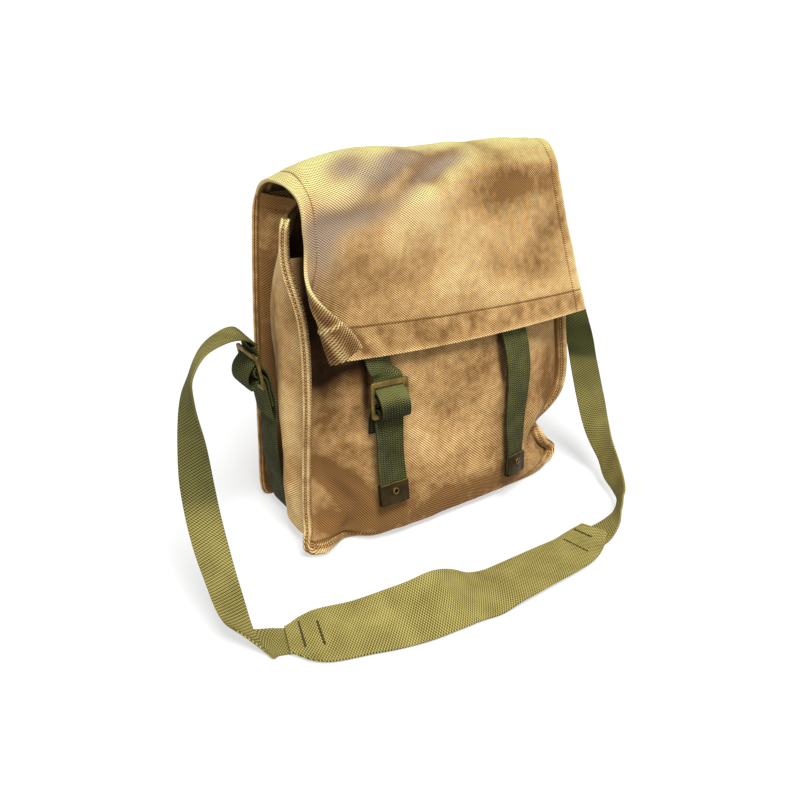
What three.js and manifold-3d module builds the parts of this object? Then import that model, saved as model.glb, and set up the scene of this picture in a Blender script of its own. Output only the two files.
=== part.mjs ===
import * as THREE from "three";
import Module from "manifold-3d";

// Canvas shoulder bag in millimetres, standing on the floor at z = 0, front towards -y

const cloth = 1.6;
const hemmed = 2.6;
const webbing = { width: 25.4, thickness: 2 };
const seamInset = 1.5;
const frontRidge = { start: 2, reach: 8.9, thickness: 6.4 };
const backRidge = { start: 1.2, reach: 4.2, thickness: 4.4 };
const weltEdge = { lip: 1.2, floor: 0.3 };
const buckle = { width: 33, height: 30, depth: 2.4, bar: 4.5, centreBar: 5, side: 3, corner: 3 };
const tip = { width: 26.4, height: 16.5, plate: 0.8, clearance: 0.6, eyelet: 3, hole: 1.4 };
const padThickness = 2.6;

function table(columns, rows) {
  const names = columns.split(" ");
  return rows.map((row) => Object.fromEntries(names.map((name, i) => [name, row[i]])));
}

// Side edges of the body, a row per height: front seam left and right with its welt's turn, then back seam
const levels = table("frontZ leftX leftY leftTurn rightX rightY rightTurn backZ backX backY", [
  [261.5, -133, -23, 45, 126, -8, 45, 269.5, 130, 20.5],
  [231, -132.5, -22.5, 45, 126, -15, 45, 240, 130, 23.5],
  [190, -127.5, -37, 45, 126, -31, 45, 190, 129.5, 26.5],
  [135, -127, -43, 45, 126.5, -44, 45, 135, 129, 27.5],
  [75, -129.2, -45.4, 45, 129, -49.5, 65, 80, 129, 27],
  [41, -132, -50, 45, 103, -53, 120, 50, 129, 26],
  [22.5, -134.5, -56, 45, 109.5, -55.5, 60, 23, 129, 26],
  [12, -138, -62, 45, 121.5, -56, 45, 10, 128, 25.5],
]);

// Fullness at the same heights: the front panel's belly, then each gusset's swell and tuck and where they lie
const fullness = table("belly leftSwell leftTuck rightSwell rightTuck crest dip", [
  [4, 0, 20, 0, 5, 0.28, 0.5],
  [5, 0, 16, 0, 8, 0.28, 0.6],
  [8, 7, 11, 0, 10, 0.4, 0.86],
  [14, 9, 11, 0, 12, 0.36, 0.82],
  [22, 10, 12, -2, 14, 0.28, 0.7],
  [24, 9, 14, -3, 14, 0.28, 0.7],
  [20, 5, 17, 0, 15, 0.28, 0.7],
  [12, 2, 18, 0, 15, 0.28, 0.7],
]);

// Base edges of the body, a row per station: seam places, sag between them, front welt's turn, tuck, facing
const baseHeight = { front: 10.2, back: 6.2 };
const base = table("x frontY backX backY sag turn tuck outX outZ", [
  [-129, -65, -126, 25, 0, 45, 9, -1, 0],
  [-104, -61.5, -104, 26, 4, 86, 0, 0, -1],
  [-82, -70.5, -82, 26.5, 4, 110, 0, 0, -1],
  [-50, -75, -50, 27, 4, 114, 0, 0, -1],
  [0, -76, 0, 27, 4, 114, 0, 0, -1],
  [60, -76, 60, 27, 4, 114, 0, 0, -1],
  [102, -68, 105, 26, 4, 80, 0, 0, -1],
  [119, -58, 126, 25, 0, 45, 8, 1, 0],
]);

// Folds pressed into the front panel, a row per fold
const frontFolds = table("x z long wide turn depth", [
  [-110, 60, 34, 9, -42, 6],
  [-121, 28, 15, 12, -60, 4],
  [-104, 12, 14, 8, 80, 6],
  [106, 38, 26, 9, 20, 7],
  [-30, 96, 40, 16, -25, 2.5],
  [30, 60, 34, 15, 20, 2.5],
]);

// Flap from its sewn edge inside the back to its foot, a row per bend: left, middle and right profiles
const flapRows = table("half leftY leftZ midY midZ rightY rightZ", [
  [114, 19.6, 242, 20.4, 242, 19.6, 242],
  [114, 16.2, 270, 17, 271.5, 16.2, 270.5],
  [133, 17.5, 274, 17, 280, 17.5, 276],
  [134, 10, 278.5, 9.5, 288, 13, 282.5],
  [134, -3, 286, -3, 295, 4, 286],
  [134, -21, 288.5, -17, 294, -7, 283],
  [134, -33, 283.5, -29.5, 285, -16, 272],
  [134, -42, 275, -37, 270, -24, 256],
  [134, -48, 259, -42, 252, -32, 238],
  [134, -51, 240, -46, 232, -40, 220],
  [134, -53, 222, -50, 211, -49, 201],
  [134, -56, 203, -55, 189, -58, 182],
  [134, -60, 184, -59, 169, -66, 168],
  [134, -63.5, 165, -64, 152.5, -72, 156],
]);
const flapSwell = { u: 0.2, wide: 0.27, v: 0.33, long: 0.22, lift: 6.5 };
const flapDroop = { wide: 0.05, v: 0.375, long: 0.17, drop: 5.8 };
const flapHem = { side: 10, foot: 24 };
const flapCurl = { topX: -136, topZ: 228, footX: -95, footZ: 160, angle: 34, ease: 9 };

// Webbing through a three-bar buckle, a row per bend: out from the bag and up the buckle
const threaded = table("out up", [
  [-2.8, -18],
  [-2.8, -13],
  [-2.5, -9.8],
  [-0.4, -7.6],
  [2.2, -7.6],
  [3.8, -9.6],
  [5.4, -12],
  [8, -12.6],
  [10, -10],
  [10.4, -4.6],
  [8.6, 1],
  [5.4, 4.8],
  [1.4, 7.5],
  [-2, 9.8],
  [-2.8, 13],
  [-2.8, 18],
]);
const looped = table("out up", [
  [-5.3, -34],
  [-5.3, -20],
  [-5.3, -9.5],
  [-3.2, -5.4],
  [0.3, -4.6],
  [3, -2.4],
  [3, 2.4],
  [0.3, 4.6],
  [-3.4, 2.6],
  [-6.6, -2.8],
  [-7.8, -9.5],
  [-7.8, -22],
  [-7.8, -36],
]);
const frontBuckle = { x: -69.5, z: 121.5, stand: 10.5 };
const sideBuckle = { x: 153, y: 0, z: 142, lean: 11.5 };
const tailDrop = 46;

// Webbing on the front panel, a row per bend: how far it stands off the panel and turns from facing it
const leftBelow = table("x z stand turn", [
  [-71, 36.5, 6.6, 12],
  [-71, 60, 7, 12],
  [-71, 73, 8.2, 12],
  [-71, 86, 9.8, 12],
]);
const leftAbove = table("x z stand turn", [
  [-74, 144, 8, 22],
  [-76.5, 158, 6.8, 15],
  [-77, 174, 6.4, 14],
  [-77, 190, 6, 12],
]);
const tabOuter = table("x z stand turn", [
  [-73, 95, 4.7, 0],
  [-72, 104, 4.8, 0],
]);
const tabInner = table("x z stand turn", [
  [-72, 104, 2.4, 0],
  [-73, 93, 2.3, 0],
]);
const rightHang = table("x z stand turn", [
  [52, 25.5, 6.8, 11],
  [54.6, 49, 6.6, 11],
  [57.5, 68, 5.8, 10],
  [61.5, 90, 5, 2],
  [64.5, 112, 5.2, -4],
  [63.2, 132, 6, -6],
  [59.5, 150, 6.6, -6],
  [56.5, 168, 5.8, -4],
  [55.5, 188, 4.8, -2],
]);

// Cradle webbing from the left buckle's loop to the middle of the base, a row per bend
const cradleRows = table("x z", [
  [139, 85],
  [137.5, 60],
  [133.5, 36],
  [130.5, 18],
  [125.5, 6],
  [114, 1.2],
  [98, 1],
  [60, 1],
  [20, 1],
]);

// Shoulder webbing from each buckle to the pad, a row per bend, with the direction of its width
const leftShoulder = table("x y z ax ay az", [
  [-157, -1, 168, 0.05, 1, 0],
  [-164.5, -3, 173, 0.15, 0.98, 0],
  [-177, -7, 175, 0.22, 0.97, -0.05],
  [-198, -15, 171, 0.3, 0.93, -0.18],
  [-213, -26, 160, 0.32, 0.9, -0.25],
  [-221, -37, 147, 0.05, 0.99, -0.1],
  [-226.5, -52, 124, -0.42, 0.9, 0],
  [-233, -72, 97, -0.74, 0.67, 0],
  [-236, -92, 69, -0.8, 0.6, 0.03],
  [-236, -111, 42, -0.76, 0.62, 0.18],
  [-234, -128.5, 18, -0.72, 0.5, 0.45],
  [-229, -138, 10.5, -0.5, 0.68, 0.5],
  [-220.5, -140, 5.6, 0, 0.94, 0.3],
  [-211, -139.5, 2.2, 0.36, 0.92, 0.06],
  [-199, -144, 1, 0.33, 0.94, 0],
  [-178, -151.5, 1, 0.3, 0.95, 0],
]);
const rightShoulder = table("x y z ax ay az", [
  [157, -8, 164, 0.1, -1, 0],
  [154, -24, 159, 0.35, -0.93, 0],
  [148, -40, 150, 0.6, -0.8, 0],
  [144.5, -53, 136, 0.65, -0.75, 0],
  [150.5, -57, 116, 0.8, -0.6, 0],
  [153.5, -62, 97, 0.8, -0.6, 0],
  [153.5, -77, 65, 0.85, -0.45, 0.25],
  [151.5, -91, 43, 0.6, -0.35, 0.7],
  [145.5, -109.5, 29, 0.15, -0.35, 0.92],
  [134.5, -130, 20, 0, -0.62, 0.78],
  [124, -148.5, 15, -0.32, -0.68, 0.65],
  [115, -158, 14, -0.5, -0.58, 0.64],
  [102, -167, 12, -0.45, -0.62, 0.62],
  [87, -172.5, 8, -0.1, -0.86, 0.48],
  [74, -173, 2.5, 0.12, -0.97, 0.15],
  [60, -173.5, 1, 0.2, -0.98, 0],
  [40, -176, 1, 0.2, -0.98, 0],
]);
const padRows = table("x y z ax ay az width", [
  [-205.5, -143.5, 4.6, 0.35, 0.94, 0.02, 26],
  [-194, -149, 4.6, 0.32, 0.95, 0.05, 42],
  [-182, -153.5, 4.8, 0.29, 0.95, 0.1, 49],
  [-156, -162, 5.6, 0.25, 0.96, 0.14, 49],
  [-137, -169.5, 8.7, 0.21, 0.93, 0.29, 48],
  [-116, -176, 12, 0.16, 0.89, 0.43, 47.5],
  [-95, -180, 14.8, 0.08, 0.84, 0.54, 47],
  [-75, -180, 10.6, 0.08, 0.93, 0.36, 46],
  [-57, -181, 5, 0.05, 0.99, 0.12, 46],
  [-38, -181, 4.2, 0, 1, -0.06, 46],
  [-10, -180.5, 4.2, -0.05, 1, -0.06, 44],
  [20, -180, 4.2, -0.13, 0.99, -0.03, 41],
  [38, -179.2, 4.2, -0.2, 0.98, 0, 38],
  [50, -176.5, 4.4, -0.22, 0.97, 0, 36],
  [62, -173, 5.2, -0.24, 0.97, -0.03, 31],
  [72, -169.8, 7.2, -0.28, 0.94, -0.1, 24],
]);

const canvasLook = new THREE.MeshStandardMaterial({ color: 0xb08a4a, roughness: 0.95, metalness: 0 });
const greenLook = new THREE.MeshStandardMaterial({ color: 0x3c4030, roughness: 0.9, metalness: 0 });
const oliveLook = new THREE.MeshStandardMaterial({ color: 0x6a6240, roughness: 0.95, metalness: 0 });
const brassLook = new THREE.MeshStandardMaterial({ color: 0xb59a58, roughness: 0.4, metalness: 0.9 });

const group = new THREE.Group();
const wasm = await Module();
wasm.setup();

// Helpers for curves, walls and solids

function column(values, t) {
  const place = Math.min(Math.max(t, 0), 1) * (values.length - 1);
  const i = Math.min(Math.floor(place), values.length - 2);
  const f = place - i;
  const a = values[Math.max(i - 1, 0)];
  const b = values[i];
  const c = values[i + 1];
  const d = values[Math.min(i + 2, values.length - 1)];
  return b + 0.5 * f * (c - a + f * (2 * a - 5 * b + 4 * c - d + f * (3 * (b - c) + d - a)));
}

function curveThrough(points) {
  return new THREE.CatmullRomCurve3(points, false, "centripetal");
}

function bump(x) {
  return Math.abs(x) < 1 ? Math.cos((Math.PI * x) / 2) ** 2 : 0;
}

function foldDepth(folds, x, z) {
  return folds.reduce((sum, fold) => {
    const turn = THREE.MathUtils.degToRad(fold.turn);
    const a = ((x - fold.x) * Math.cos(turn) + (z - fold.z) * Math.sin(turn)) / fold.long;
    const b = ((z - fold.z) * Math.cos(turn) - (x - fold.x) * Math.sin(turn)) / fold.wide;
    return sum + fold.depth * Math.exp(-a * a - b * b);
  }, 0);
}

function closedGeometry(points, triangles) {
  const volume = triangles.reduce(
    (sum, [a, b, c]) => sum + points[a].dot(points[b].clone().cross(points[c])),
    0,
  );
  const facing = volume < 0 ? triangles.map(([a, b, c]) => [a, c, b]) : triangles;
  const geometry = new THREE.BufferGeometry();
  const flat = points.flatMap((p) => [p.x, p.y, p.z]);
  geometry.setAttribute("position", new THREE.Float32BufferAttribute(flat, 3));
  geometry.setIndex(facing.flat());
  geometry.computeVertexNormals();
  return geometry;
}

function surfaceNormal(surface, u, v) {
  const e = 0.002;
  const along = surface(Math.min(u + e, 1), v).sub(surface(Math.max(u - e, 0), v));
  const up = surface(u, Math.min(v + e, 1)).sub(surface(u, Math.max(v - e, 0)));
  return along.cross(up).normalize();
}

function wallGeometry(surface, across, along, thickness) {
  const points = [];
  const triangles = [];
  const wide = across + 1;
  const layer = wide * (along + 1);
  for (const side of [0.5, -0.5]) {
    for (let j = 0; j <= along; j += 1) {
      for (let i = 0; i <= across; i += 1) {
        const u = i / across;
        const v = j / along;
        const offset = surfaceNormal(surface, u, v).multiplyScalar(side * thickness(u, v));
        points.push(surface(u, v).add(offset));
      }
    }
  }
  const quad = (a, b, c, d) => triangles.push([a, b, c], [a, c, d]);
  for (let j = 0; j < along; j += 1) {
    for (let i = 0; i < across; i += 1) {
      const a = j * wide + i;
      quad(a, a + 1, a + wide + 1, a + wide);
      quad(layer + a, layer + a + wide, layer + a + wide + 1, layer + a + 1);
    }
  }
  const rim = [];
  for (let i = 0; i < across; i += 1) rim.push(i);
  for (let j = 0; j < along; j += 1) rim.push(j * wide + across);
  for (let i = across; i > 0; i -= 1) rim.push(along * wide + i);
  for (let j = along; j > 0; j -= 1) rim.push(j * wide);
  rim.forEach((a, k) => {
    const b = rim[(k + 1) % rim.length];
    quad(a, layer + a, layer + b, b);
  });
  return closedGeometry(points, triangles);
}

function addPiece(name, geometry, material) {
  const mesh = new THREE.Mesh(geometry, material);
  mesh.name = name;
  group.add(mesh);
}

function addWall(name, surface, across, along, thickness, material) {
  const wallThickness = typeof thickness === "number" ? () => thickness : thickness;
  addPiece(name, wallGeometry(surface, across, along, wallThickness), material);
}

function addRibbon(name, route, sizes, material) {
  const { width, thickness, across = 1, perBend = 3, floor = -Infinity } = sizes;
  const centre = curveThrough(route.map((row) => row.at));
  const spread = curveThrough(route.map((row) => row.across));
  const widths = route.map((row) => row.width ?? width);
  const surface = (u, v) => {
    const point = centre.getPoint(v);
    const side = spread.getPoint(v).normalize();
    point.addScaledVector(side, (u - 0.5) * column(widths, v));
    point.z = Math.max(point.z, floor);
    return point;
  };
  addWall(name, surface, across, (route.length - 1) * perBend, thickness, material);
}

function toSolid(geometry) {
  const mesh = new wasm.Mesh({
    numProp: 3,
    vertProperties: new Float32Array(geometry.attributes.position.array),
    triVerts: new Uint32Array(geometry.index.array),
  });
  mesh.merge();
  return new wasm.Manifold(mesh);
}

function toGeometry(solid) {
  const mesh = solid.getMesh();
  const geometry = new THREE.BufferGeometry();
  const flat = [];
  for (let i = 0; i < mesh.numVert; i += 1) {
    for (let k = 0; k < 3; k += 1) flat.push(mesh.vertProperties[i * mesh.numProp + k]);
  }
  geometry.setAttribute("position", new THREE.Float32BufferAttribute(flat, 3));
  geometry.setIndex(Array.from(mesh.triVerts));
  geometry.computeVertexNormals();
  return geometry;
}

function indexed(geometry) {
  const count = geometry.attributes.position.count;
  if (!geometry.index) geometry.setIndex([...Array(count).keys()]);
  return geometry;
}

// Body: seams, gusset, panels and welts

const sideRows = (side) => levels.map((row, i) => ({
  x: row[`${side}X`],
  y: row[`${side}Y`],
  z: row.frontZ,
  backX: row.backX * (side === "left" ? -1 : 1),
  backY: row.backY,
  backZ: row.backZ,
  swell: fullness[i][`${side}Swell`],
  tuck: fullness[i][`${side}Tuck`],
  crest: fullness[i].crest,
  dip: fullness[i].dip,
  sag: 0,
  turn: row[`${side}Turn`],
  outX: side === "left" ? -1 : 1,
  outZ: 0,
}));
const leftUp = sideRows("left");
const rightUp = sideRows("right");
const along = base.map((row) => ({
  ...row,
  y: row.frontY,
  z: baseHeight.front,
  backZ: baseHeight.back,
  swell: 0,
  crest: fullness[7].crest,
  dip: fullness[7].dip,
}));
const ring = [...leftUp, ...along, ...[...rightUp].reverse()];
const last = ring.length - 1;
const leftFoot = leftUp.length;
const rightFoot = last - leftUp.length;
const frontSeam = curveThrough(ring.map((row) => new THREE.Vector3(row.x, row.y, row.z)));
const backSeam = curveThrough(ring.map((row) => new THREE.Vector3(row.backX, row.backY, row.backZ)));
const ringColumn = (name, v) => column(ring.map((row) => row[name]), v);

function outward(seam, v) {
  const e = 0.004;
  const step = seam.getPoint(Math.min(v + e, 1)).sub(seam.getPoint(Math.max(v - e, 0)));
  return new THREE.Vector3(step.z, 0, -step.x).normalize();
}

function gussetPoint(u, v) {
  const front = frontSeam.getPoint(v);
  const back = backSeam.getPoint(v);
  const inset = seamInset / front.distanceTo(back);
  const w = inset + u * (1 - 2 * inset);
  const crest = ringColumn("crest", v);
  const dip = ringColumn("dip", v);
  const rise = ringColumn("swell", v) * bump((w - crest) / crest)
    - ringColumn("tuck", v) * bump((w - dip) / (1 - dip))
    + ringColumn("sag", v) * 4 * w * (1 - w);
  const out = new THREE.Vector3(ringColumn("outX", v), 0, ringColumn("outZ", v)).normalize();
  return front.lerp(back, w).addScaledVector(out, rise);
}

function panelPatch(seam, topRow, u, s) {
  const inset = seamInset / 250;
  const w = inset + u * (1 - 2 * inset);
  const rise = 0.02 + s * 0.98;
  const span = leftFoot - topRow;
  const left = seam.getPoint((leftFoot - span * rise) / last);
  const right = seam.getPoint((rightFoot + span * rise) / last);
  const foot = seam.getPoint((leftFoot + (rightFoot - leftFoot) * w) / last);
  const chord = seam.getPoint(leftFoot / last).lerp(seam.getPoint(rightFoot / last), w);
  const bow = foot.sub(chord).multiplyScalar((1 - rise) ** 2);
  return { point: left.lerp(right, w).add(bow), w, rise };
}

const bellies = [0, ...fullness.slice(1).map((row) => row.belly).reverse()];

function frontPoint(u, s) {
  const { point, w, rise } = panelPatch(frontSeam, 1, u, s);
  const full = 1 - (2 * w - 1) ** 4;
  point.y -= column(bellies, rise) * full;
  const loose = Math.min(1, rise * 5) * Math.min(1, 25 * w * (1 - w));
  point.y += foldDepth(frontFolds, point.x, point.z) * loose;
  point.z -= 5 * Math.sin(Math.PI * w) ** 2 * bump((rise - 0.14) / 0.12);
  return point;
}

function frontAt(x, z, stand) {
  const place = { u: 0.5, s: 0.5 };
  for (let k = 0; k < 60; k += 1) {
    const point = frontPoint(place.u, place.s);
    place.u = THREE.MathUtils.clamp(place.u + (x - point.x) / 260, 0, 1);
    place.s = THREE.MathUtils.clamp(place.s + (z - point.z) * 0.0026, 0, 1);
  }
  const face = surfaceNormal(frontPoint, place.u, place.s);
  if (face.y > 0) face.negate();
  const across = new THREE.Vector3(0, 0, 1).cross(face).normalize();
  return { at: frontPoint(place.u, place.s).addScaledVector(face, stand), across, face };
}

function backPoint(u, s) {
  const { point, w, rise } = panelPatch(backSeam, 0, u, s);
  point.y += 3 * Math.sin(Math.PI * w) * Math.min(1, rise * 4) * (1 - 0.6 * rise);
  return point;
}

function addWelt(name, seam, facing, ridge, turns) {
  const surface = (u, v) => {
    const turn = THREE.MathUtils.degToRad(turns(v));
    const out = outward(seam, v).multiplyScalar(Math.sin(turn));
    out.y += facing * Math.cos(turn);
    const point = seam.getPoint(v);
    const lowest = weltEdge.floor + Math.abs(Math.cos(turn)) * (ridge.thickness / 2);
    const room = out.z < 0 ? (lowest - point.z) / out.z - ridge.start : ridge.reach;
    return point.addScaledVector(out, ridge.start + u * Math.min(room, ridge.reach));
  };
  const thickness = (u) => (u === 0 ? weltEdge.lip : ridge.thickness);
  addWall(name, surface, 2, last * 2, thickness, canvasLook);
}

addWall("front_panel", frontPoint, 16, 16, (u, s) => (s > 0.94 ? hemmed : cloth), canvasLook);
addWall("gusset", gussetPoint, 9, last * 2, cloth, canvasLook);
addWall("back_panel", backPoint, 8, 10, cloth, canvasLook);
addWelt("front_seam", frontSeam, -1, frontRidge, (v) => ringColumn("turn", v));
addWelt("back_seam", backSeam, 1, backRidge, () => 45);

// Flap

const flapCurves = ["left", "mid", "right"].map((name) => (
  curveThrough(flapRows.map((row) => new THREE.Vector3(row.half, row[`${name}Y`], row[`${name}Z`])))
));

function curlCorner(point) {
  const lineX = flapCurl.footX - flapCurl.topX;
  const lineZ = flapCurl.footZ - flapCurl.topZ;
  const length = Math.hypot(lineX, lineZ);
  const beyond = ((point.x - flapCurl.topX) * lineZ - (point.z - flapCurl.topZ) * lineX) / length;
  if (beyond <= 0 || point.y > -35) return point;
  const bent = THREE.MathUtils.degToRad(flapCurl.angle) * Math.min(beyond / flapCurl.ease, 1);
  const back = beyond * (1 - Math.cos(bent));
  point.x -= (back * lineZ) / length;
  point.z += (back * lineX) / length;
  point.y -= beyond * Math.sin(bent);
  return point;
}

function flapPoint(u, v) {
  const [left, mid, right] = flapCurves.map((curve) => curve.getPoint(v));
  const blend = left.clone().multiplyScalar((1 - u) * (1 - 2 * u));
  blend.addScaledVector(mid, 4 * u * (1 - u));
  blend.addScaledVector(right, u * (2 * u - 1));
  const point = new THREE.Vector3((2 * u - 1) * left.x - u, blend.y, blend.z);
  const { lift, wide, long } = flapSwell;
  point.z += lift * bump((u - flapSwell.u) / wide) * bump((v - flapSwell.v) / long);
  const atEdge = Math.max(1 - u / flapDroop.wide, 0);
  point.z -= flapDroop.drop * atEdge * bump((v - flapDroop.v) / flapDroop.long);
  return curlCorner(point);
}

function flapThickness(u, v) {
  const side = flapHem.side / (2 * flapRows[5].half);
  const foot = flapHem.foot / 225;
  return u < side || u > 1 - side || v > 1 - foot ? hemmed : cloth;
}

addWall("flap", flapPoint, 18, (flapRows.length - 1) * 2, flapThickness, canvasLook);

// Buckles, with the webbing through them

function sideFrame(sign) {
  const tilt = THREE.MathUtils.degToRad(sideBuckle.lean);
  const up = new THREE.Vector3(sign * Math.sin(tilt), 0, Math.cos(tilt));
  const face = new THREE.Vector3(sign * Math.cos(tilt), 0, -Math.sin(tilt));
  const centre = new THREE.Vector3(sign * sideBuckle.x, sideBuckle.y, sideBuckle.z);
  return { centre, up, face, across: up.clone().cross(face) };
}

function frontFrame({ x, z, stand }) {
  const { at, across, face } = frontAt(x, z, stand);
  return { centre: at, up: face.clone().cross(across), face, across };
}

function inFrame(frame, rows) {
  return rows.map((row) => ({
    at: frame.centre.clone().addScaledVector(frame.face, row.out).addScaledVector(frame.up, row.up),
    across: frame.across.clone(),
  }));
}

function roundedRectangle(path, width, height, corner) {
  const [w, h, r] = [width / 2, height / 2, corner];
  path.moveTo(-w + r, -h);
  path.lineTo(w - r, -h);
  path.quadraticCurveTo(w, -h, w, -h + r);
  path.lineTo(w, h - r);
  path.quadraticCurveTo(w, h, w - r, h);
  path.lineTo(-w + r, h);
  path.quadraticCurveTo(-w, h, -w, h - r);
  path.lineTo(-w, -h + r);
  path.quadraticCurveTo(-w, -h, -w + r, -h);
  return path;
}

function buckleGeometry(frame) {
  const shape = roundedRectangle(new THREE.Shape(), buckle.width, buckle.height, buckle.corner);
  const low = buckle.centreBar / 2;
  const high = buckle.height / 2 - buckle.bar;
  const half = buckle.width / 2 - buckle.side;
  for (const [bottom, top] of [[low, high], [-high, -low]]) {
    const slot = new THREE.Path();
    slot.moveTo(-half, bottom);
    slot.lineTo(-half, top);
    slot.lineTo(half, top);
    slot.lineTo(half, bottom);
    slot.lineTo(-half, bottom);
    shape.holes.push(slot);
  }
  const options = { depth: buckle.depth, bevelEnabled: false, curveSegments: 4 };
  const plate = new THREE.ExtrudeGeometry(shape, options);
  plate.translate(0, 0, -buckle.depth / 2);
  const place = new THREE.Matrix4().makeBasis(frame.across, frame.up, frame.face);
  return plate.applyMatrix4(place.setPosition(frame.centre));
}

const front = frontFrame(frontBuckle);
const leftSide = sideFrame(-1);
const rightSide = sideFrame(1);
addPiece("left_front_buckle", buckleGeometry(front), brassLook);
addPiece("left_side_buckle", buckleGeometry(leftSide), brassLook);
addPiece("right_side_buckle", buckleGeometry(rightSide), brassLook);

const upright = new THREE.Vector3(0, 0, 1);
const hanging = (rows) => rows.map((row) => {
  const { at, across } = frontAt(row.x, row.z, row.stand);
  return { at, across: across.applyAxisAngle(upright, THREE.MathUtils.degToRad(row.turn)) };
});
const straightEnd = ([end, next, ...rest]) => {
  const along = next.at.clone().sub(end.at).normalize();
  const across = end.across.clone().addScaledVector(along, -end.across.dot(along)).normalize();
  const straight = [0, 0.5, 1].map((t) => ({ at: end.at.clone().lerp(next.at, t), across }));
  return [...straight, ...rest];
};
const leftThreaded = [...hanging(leftBelow), ...inFrame(front, threaded), ...hanging(leftAbove)];
const leftRoute = straightEnd(leftThreaded);
const rightRoute = straightEnd(hanging(rightHang));
addRibbon("left_closing_strap", leftRoute, webbing, greenLook);
addRibbon("right_closing_strap", rightRoute, webbing, greenLook);
const tabLoop = inFrame(front, looped.slice(2, -2));
const tabRoute = [...hanging(tabOuter), ...tabLoop, ...hanging(tabInner)];
addRibbon("left_buckle_tab", tabRoute, webbing, greenLook);

const cradleSide = (frame, sign) => [
  ...inFrame(frame, looped),
  ...cradleRows.map((row) => ({
    at: new THREE.Vector3(sign * row.x, 0, row.z),
    across: frame.across.clone(),
  })),
];
const cradleRight = cradleSide(rightSide, 1).reverse();
cradleRight.forEach((row) => row.across.negate());
const cradle = [...cradleSide(leftSide, -1), ...cradleRight];
addRibbon("cradle_strap", cradle, { ...webbing, perBend: 2, floor: webbing.thickness / 2 }, greenLook);

function shoulderRoute(frame, rows) {
  const tail = inFrame(frame, [{ out: -2.8, up: -tailDrop }, { out: -2.8, up: -32 }]);
  const through = [...tail, ...inFrame(frame, threaded)];
  const rest = rows.map((row) => ({
    at: new THREE.Vector3(row.x, row.y, row.z),
    across: new THREE.Vector3(row.ax, row.ay, row.az).normalize(),
  }));
  return [...through, ...rest];
}

const shoulderWebbing = { ...webbing, across: 2, perBend: 2, floor: webbing.thickness / 2 };
addRibbon("left_shoulder_strap", shoulderRoute(leftSide, leftShoulder), shoulderWebbing, oliveLook);
addRibbon("right_shoulder_strap", shoulderRoute(rightSide, rightShoulder), shoulderWebbing, oliveLook);
const padRoute = padRows.map((row) => ({
  at: new THREE.Vector3(row.x, row.y, row.z),
  across: new THREE.Vector3(row.ax, row.ay, row.az).normalize(),
  width: row.width,
}));
const padSizes = { thickness: padThickness, across: 4, floor: padThickness / 2 };
addRibbon("shoulder_pad", padRoute, padSizes, oliveLook);

// Brass tips folded round the strap ends

function tipGeometry(route) {
  const end = route[0].at;
  const up = route[1].at.clone().sub(end).normalize();
  const across = route[0].across;
  const face = across.clone().cross(up).normalize();
  const inside = webbing.thickness / 2 + tip.clearance;
  const outside = inside + tip.plate;
  const profile = new THREE.Shape();
  profile.moveTo(-outside, tip.height);
  profile.lineTo(-outside, -tip.clearance - tip.plate);
  profile.lineTo(outside, -tip.clearance - tip.plate);
  profile.lineTo(outside, tip.height);
  profile.lineTo(inside, tip.height);
  profile.lineTo(inside, -tip.clearance);
  profile.lineTo(-inside, -tip.clearance);
  profile.lineTo(-inside, tip.height);
  const clip = new THREE.ExtrudeGeometry(profile, { depth: tip.width, bevelEnabled: false });
  clip.translate(0, 0, -tip.width / 2);
  const { hole, eyelet } = tip;
  const section = [[hole, -0.5], [eyelet, -0.5], [eyelet, 0.5], [hole, 0.9], [hole, -0.5]];
  const collar = new THREE.LatheGeometry(section.map(([r, h]) => new THREE.Vector2(r, h)), 20);
  collar.rotateZ(-Math.PI / 2);
  collar.translate(outside, tip.height * 0.6, 0);
  const joined = toGeometry(toSolid(indexed(clip)).add(toSolid(indexed(collar))));
  const place = new THREE.Matrix4().makeBasis(face, up, face.clone().cross(up));
  return joined.applyMatrix4(place.setPosition(end));
}

addPiece("left_strap_tip", tipGeometry(leftRoute), brassLook);
addPiece("right_strap_tip", tipGeometry(rightRoute), brassLook);

export default group;
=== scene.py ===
import math

import bpy
import numpy as np
from mathutils import Matrix, Vector, noise


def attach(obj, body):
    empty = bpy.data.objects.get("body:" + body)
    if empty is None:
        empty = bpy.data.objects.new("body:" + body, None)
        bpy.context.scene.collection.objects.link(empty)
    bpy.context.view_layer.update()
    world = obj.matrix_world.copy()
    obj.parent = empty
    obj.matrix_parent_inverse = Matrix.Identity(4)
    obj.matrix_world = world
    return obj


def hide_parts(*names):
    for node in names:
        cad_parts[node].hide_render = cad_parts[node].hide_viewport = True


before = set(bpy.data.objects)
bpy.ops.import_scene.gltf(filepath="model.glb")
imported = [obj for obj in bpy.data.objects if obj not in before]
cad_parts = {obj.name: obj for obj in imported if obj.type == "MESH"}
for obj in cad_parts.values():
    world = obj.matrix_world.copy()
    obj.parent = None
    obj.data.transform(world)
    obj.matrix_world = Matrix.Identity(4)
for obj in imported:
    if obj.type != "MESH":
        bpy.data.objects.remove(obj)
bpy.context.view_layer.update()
mm = 0.001
tau = 2 * math.pi


# Camera at the photograph's angle

photoView = {
    "place": (-0.4453, -0.5734, 0.4527),
    "azimuth": -37.31,
    "elevation": 27.76,
    "roll": 2.82,
    "lens": 41.58,
}


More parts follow.
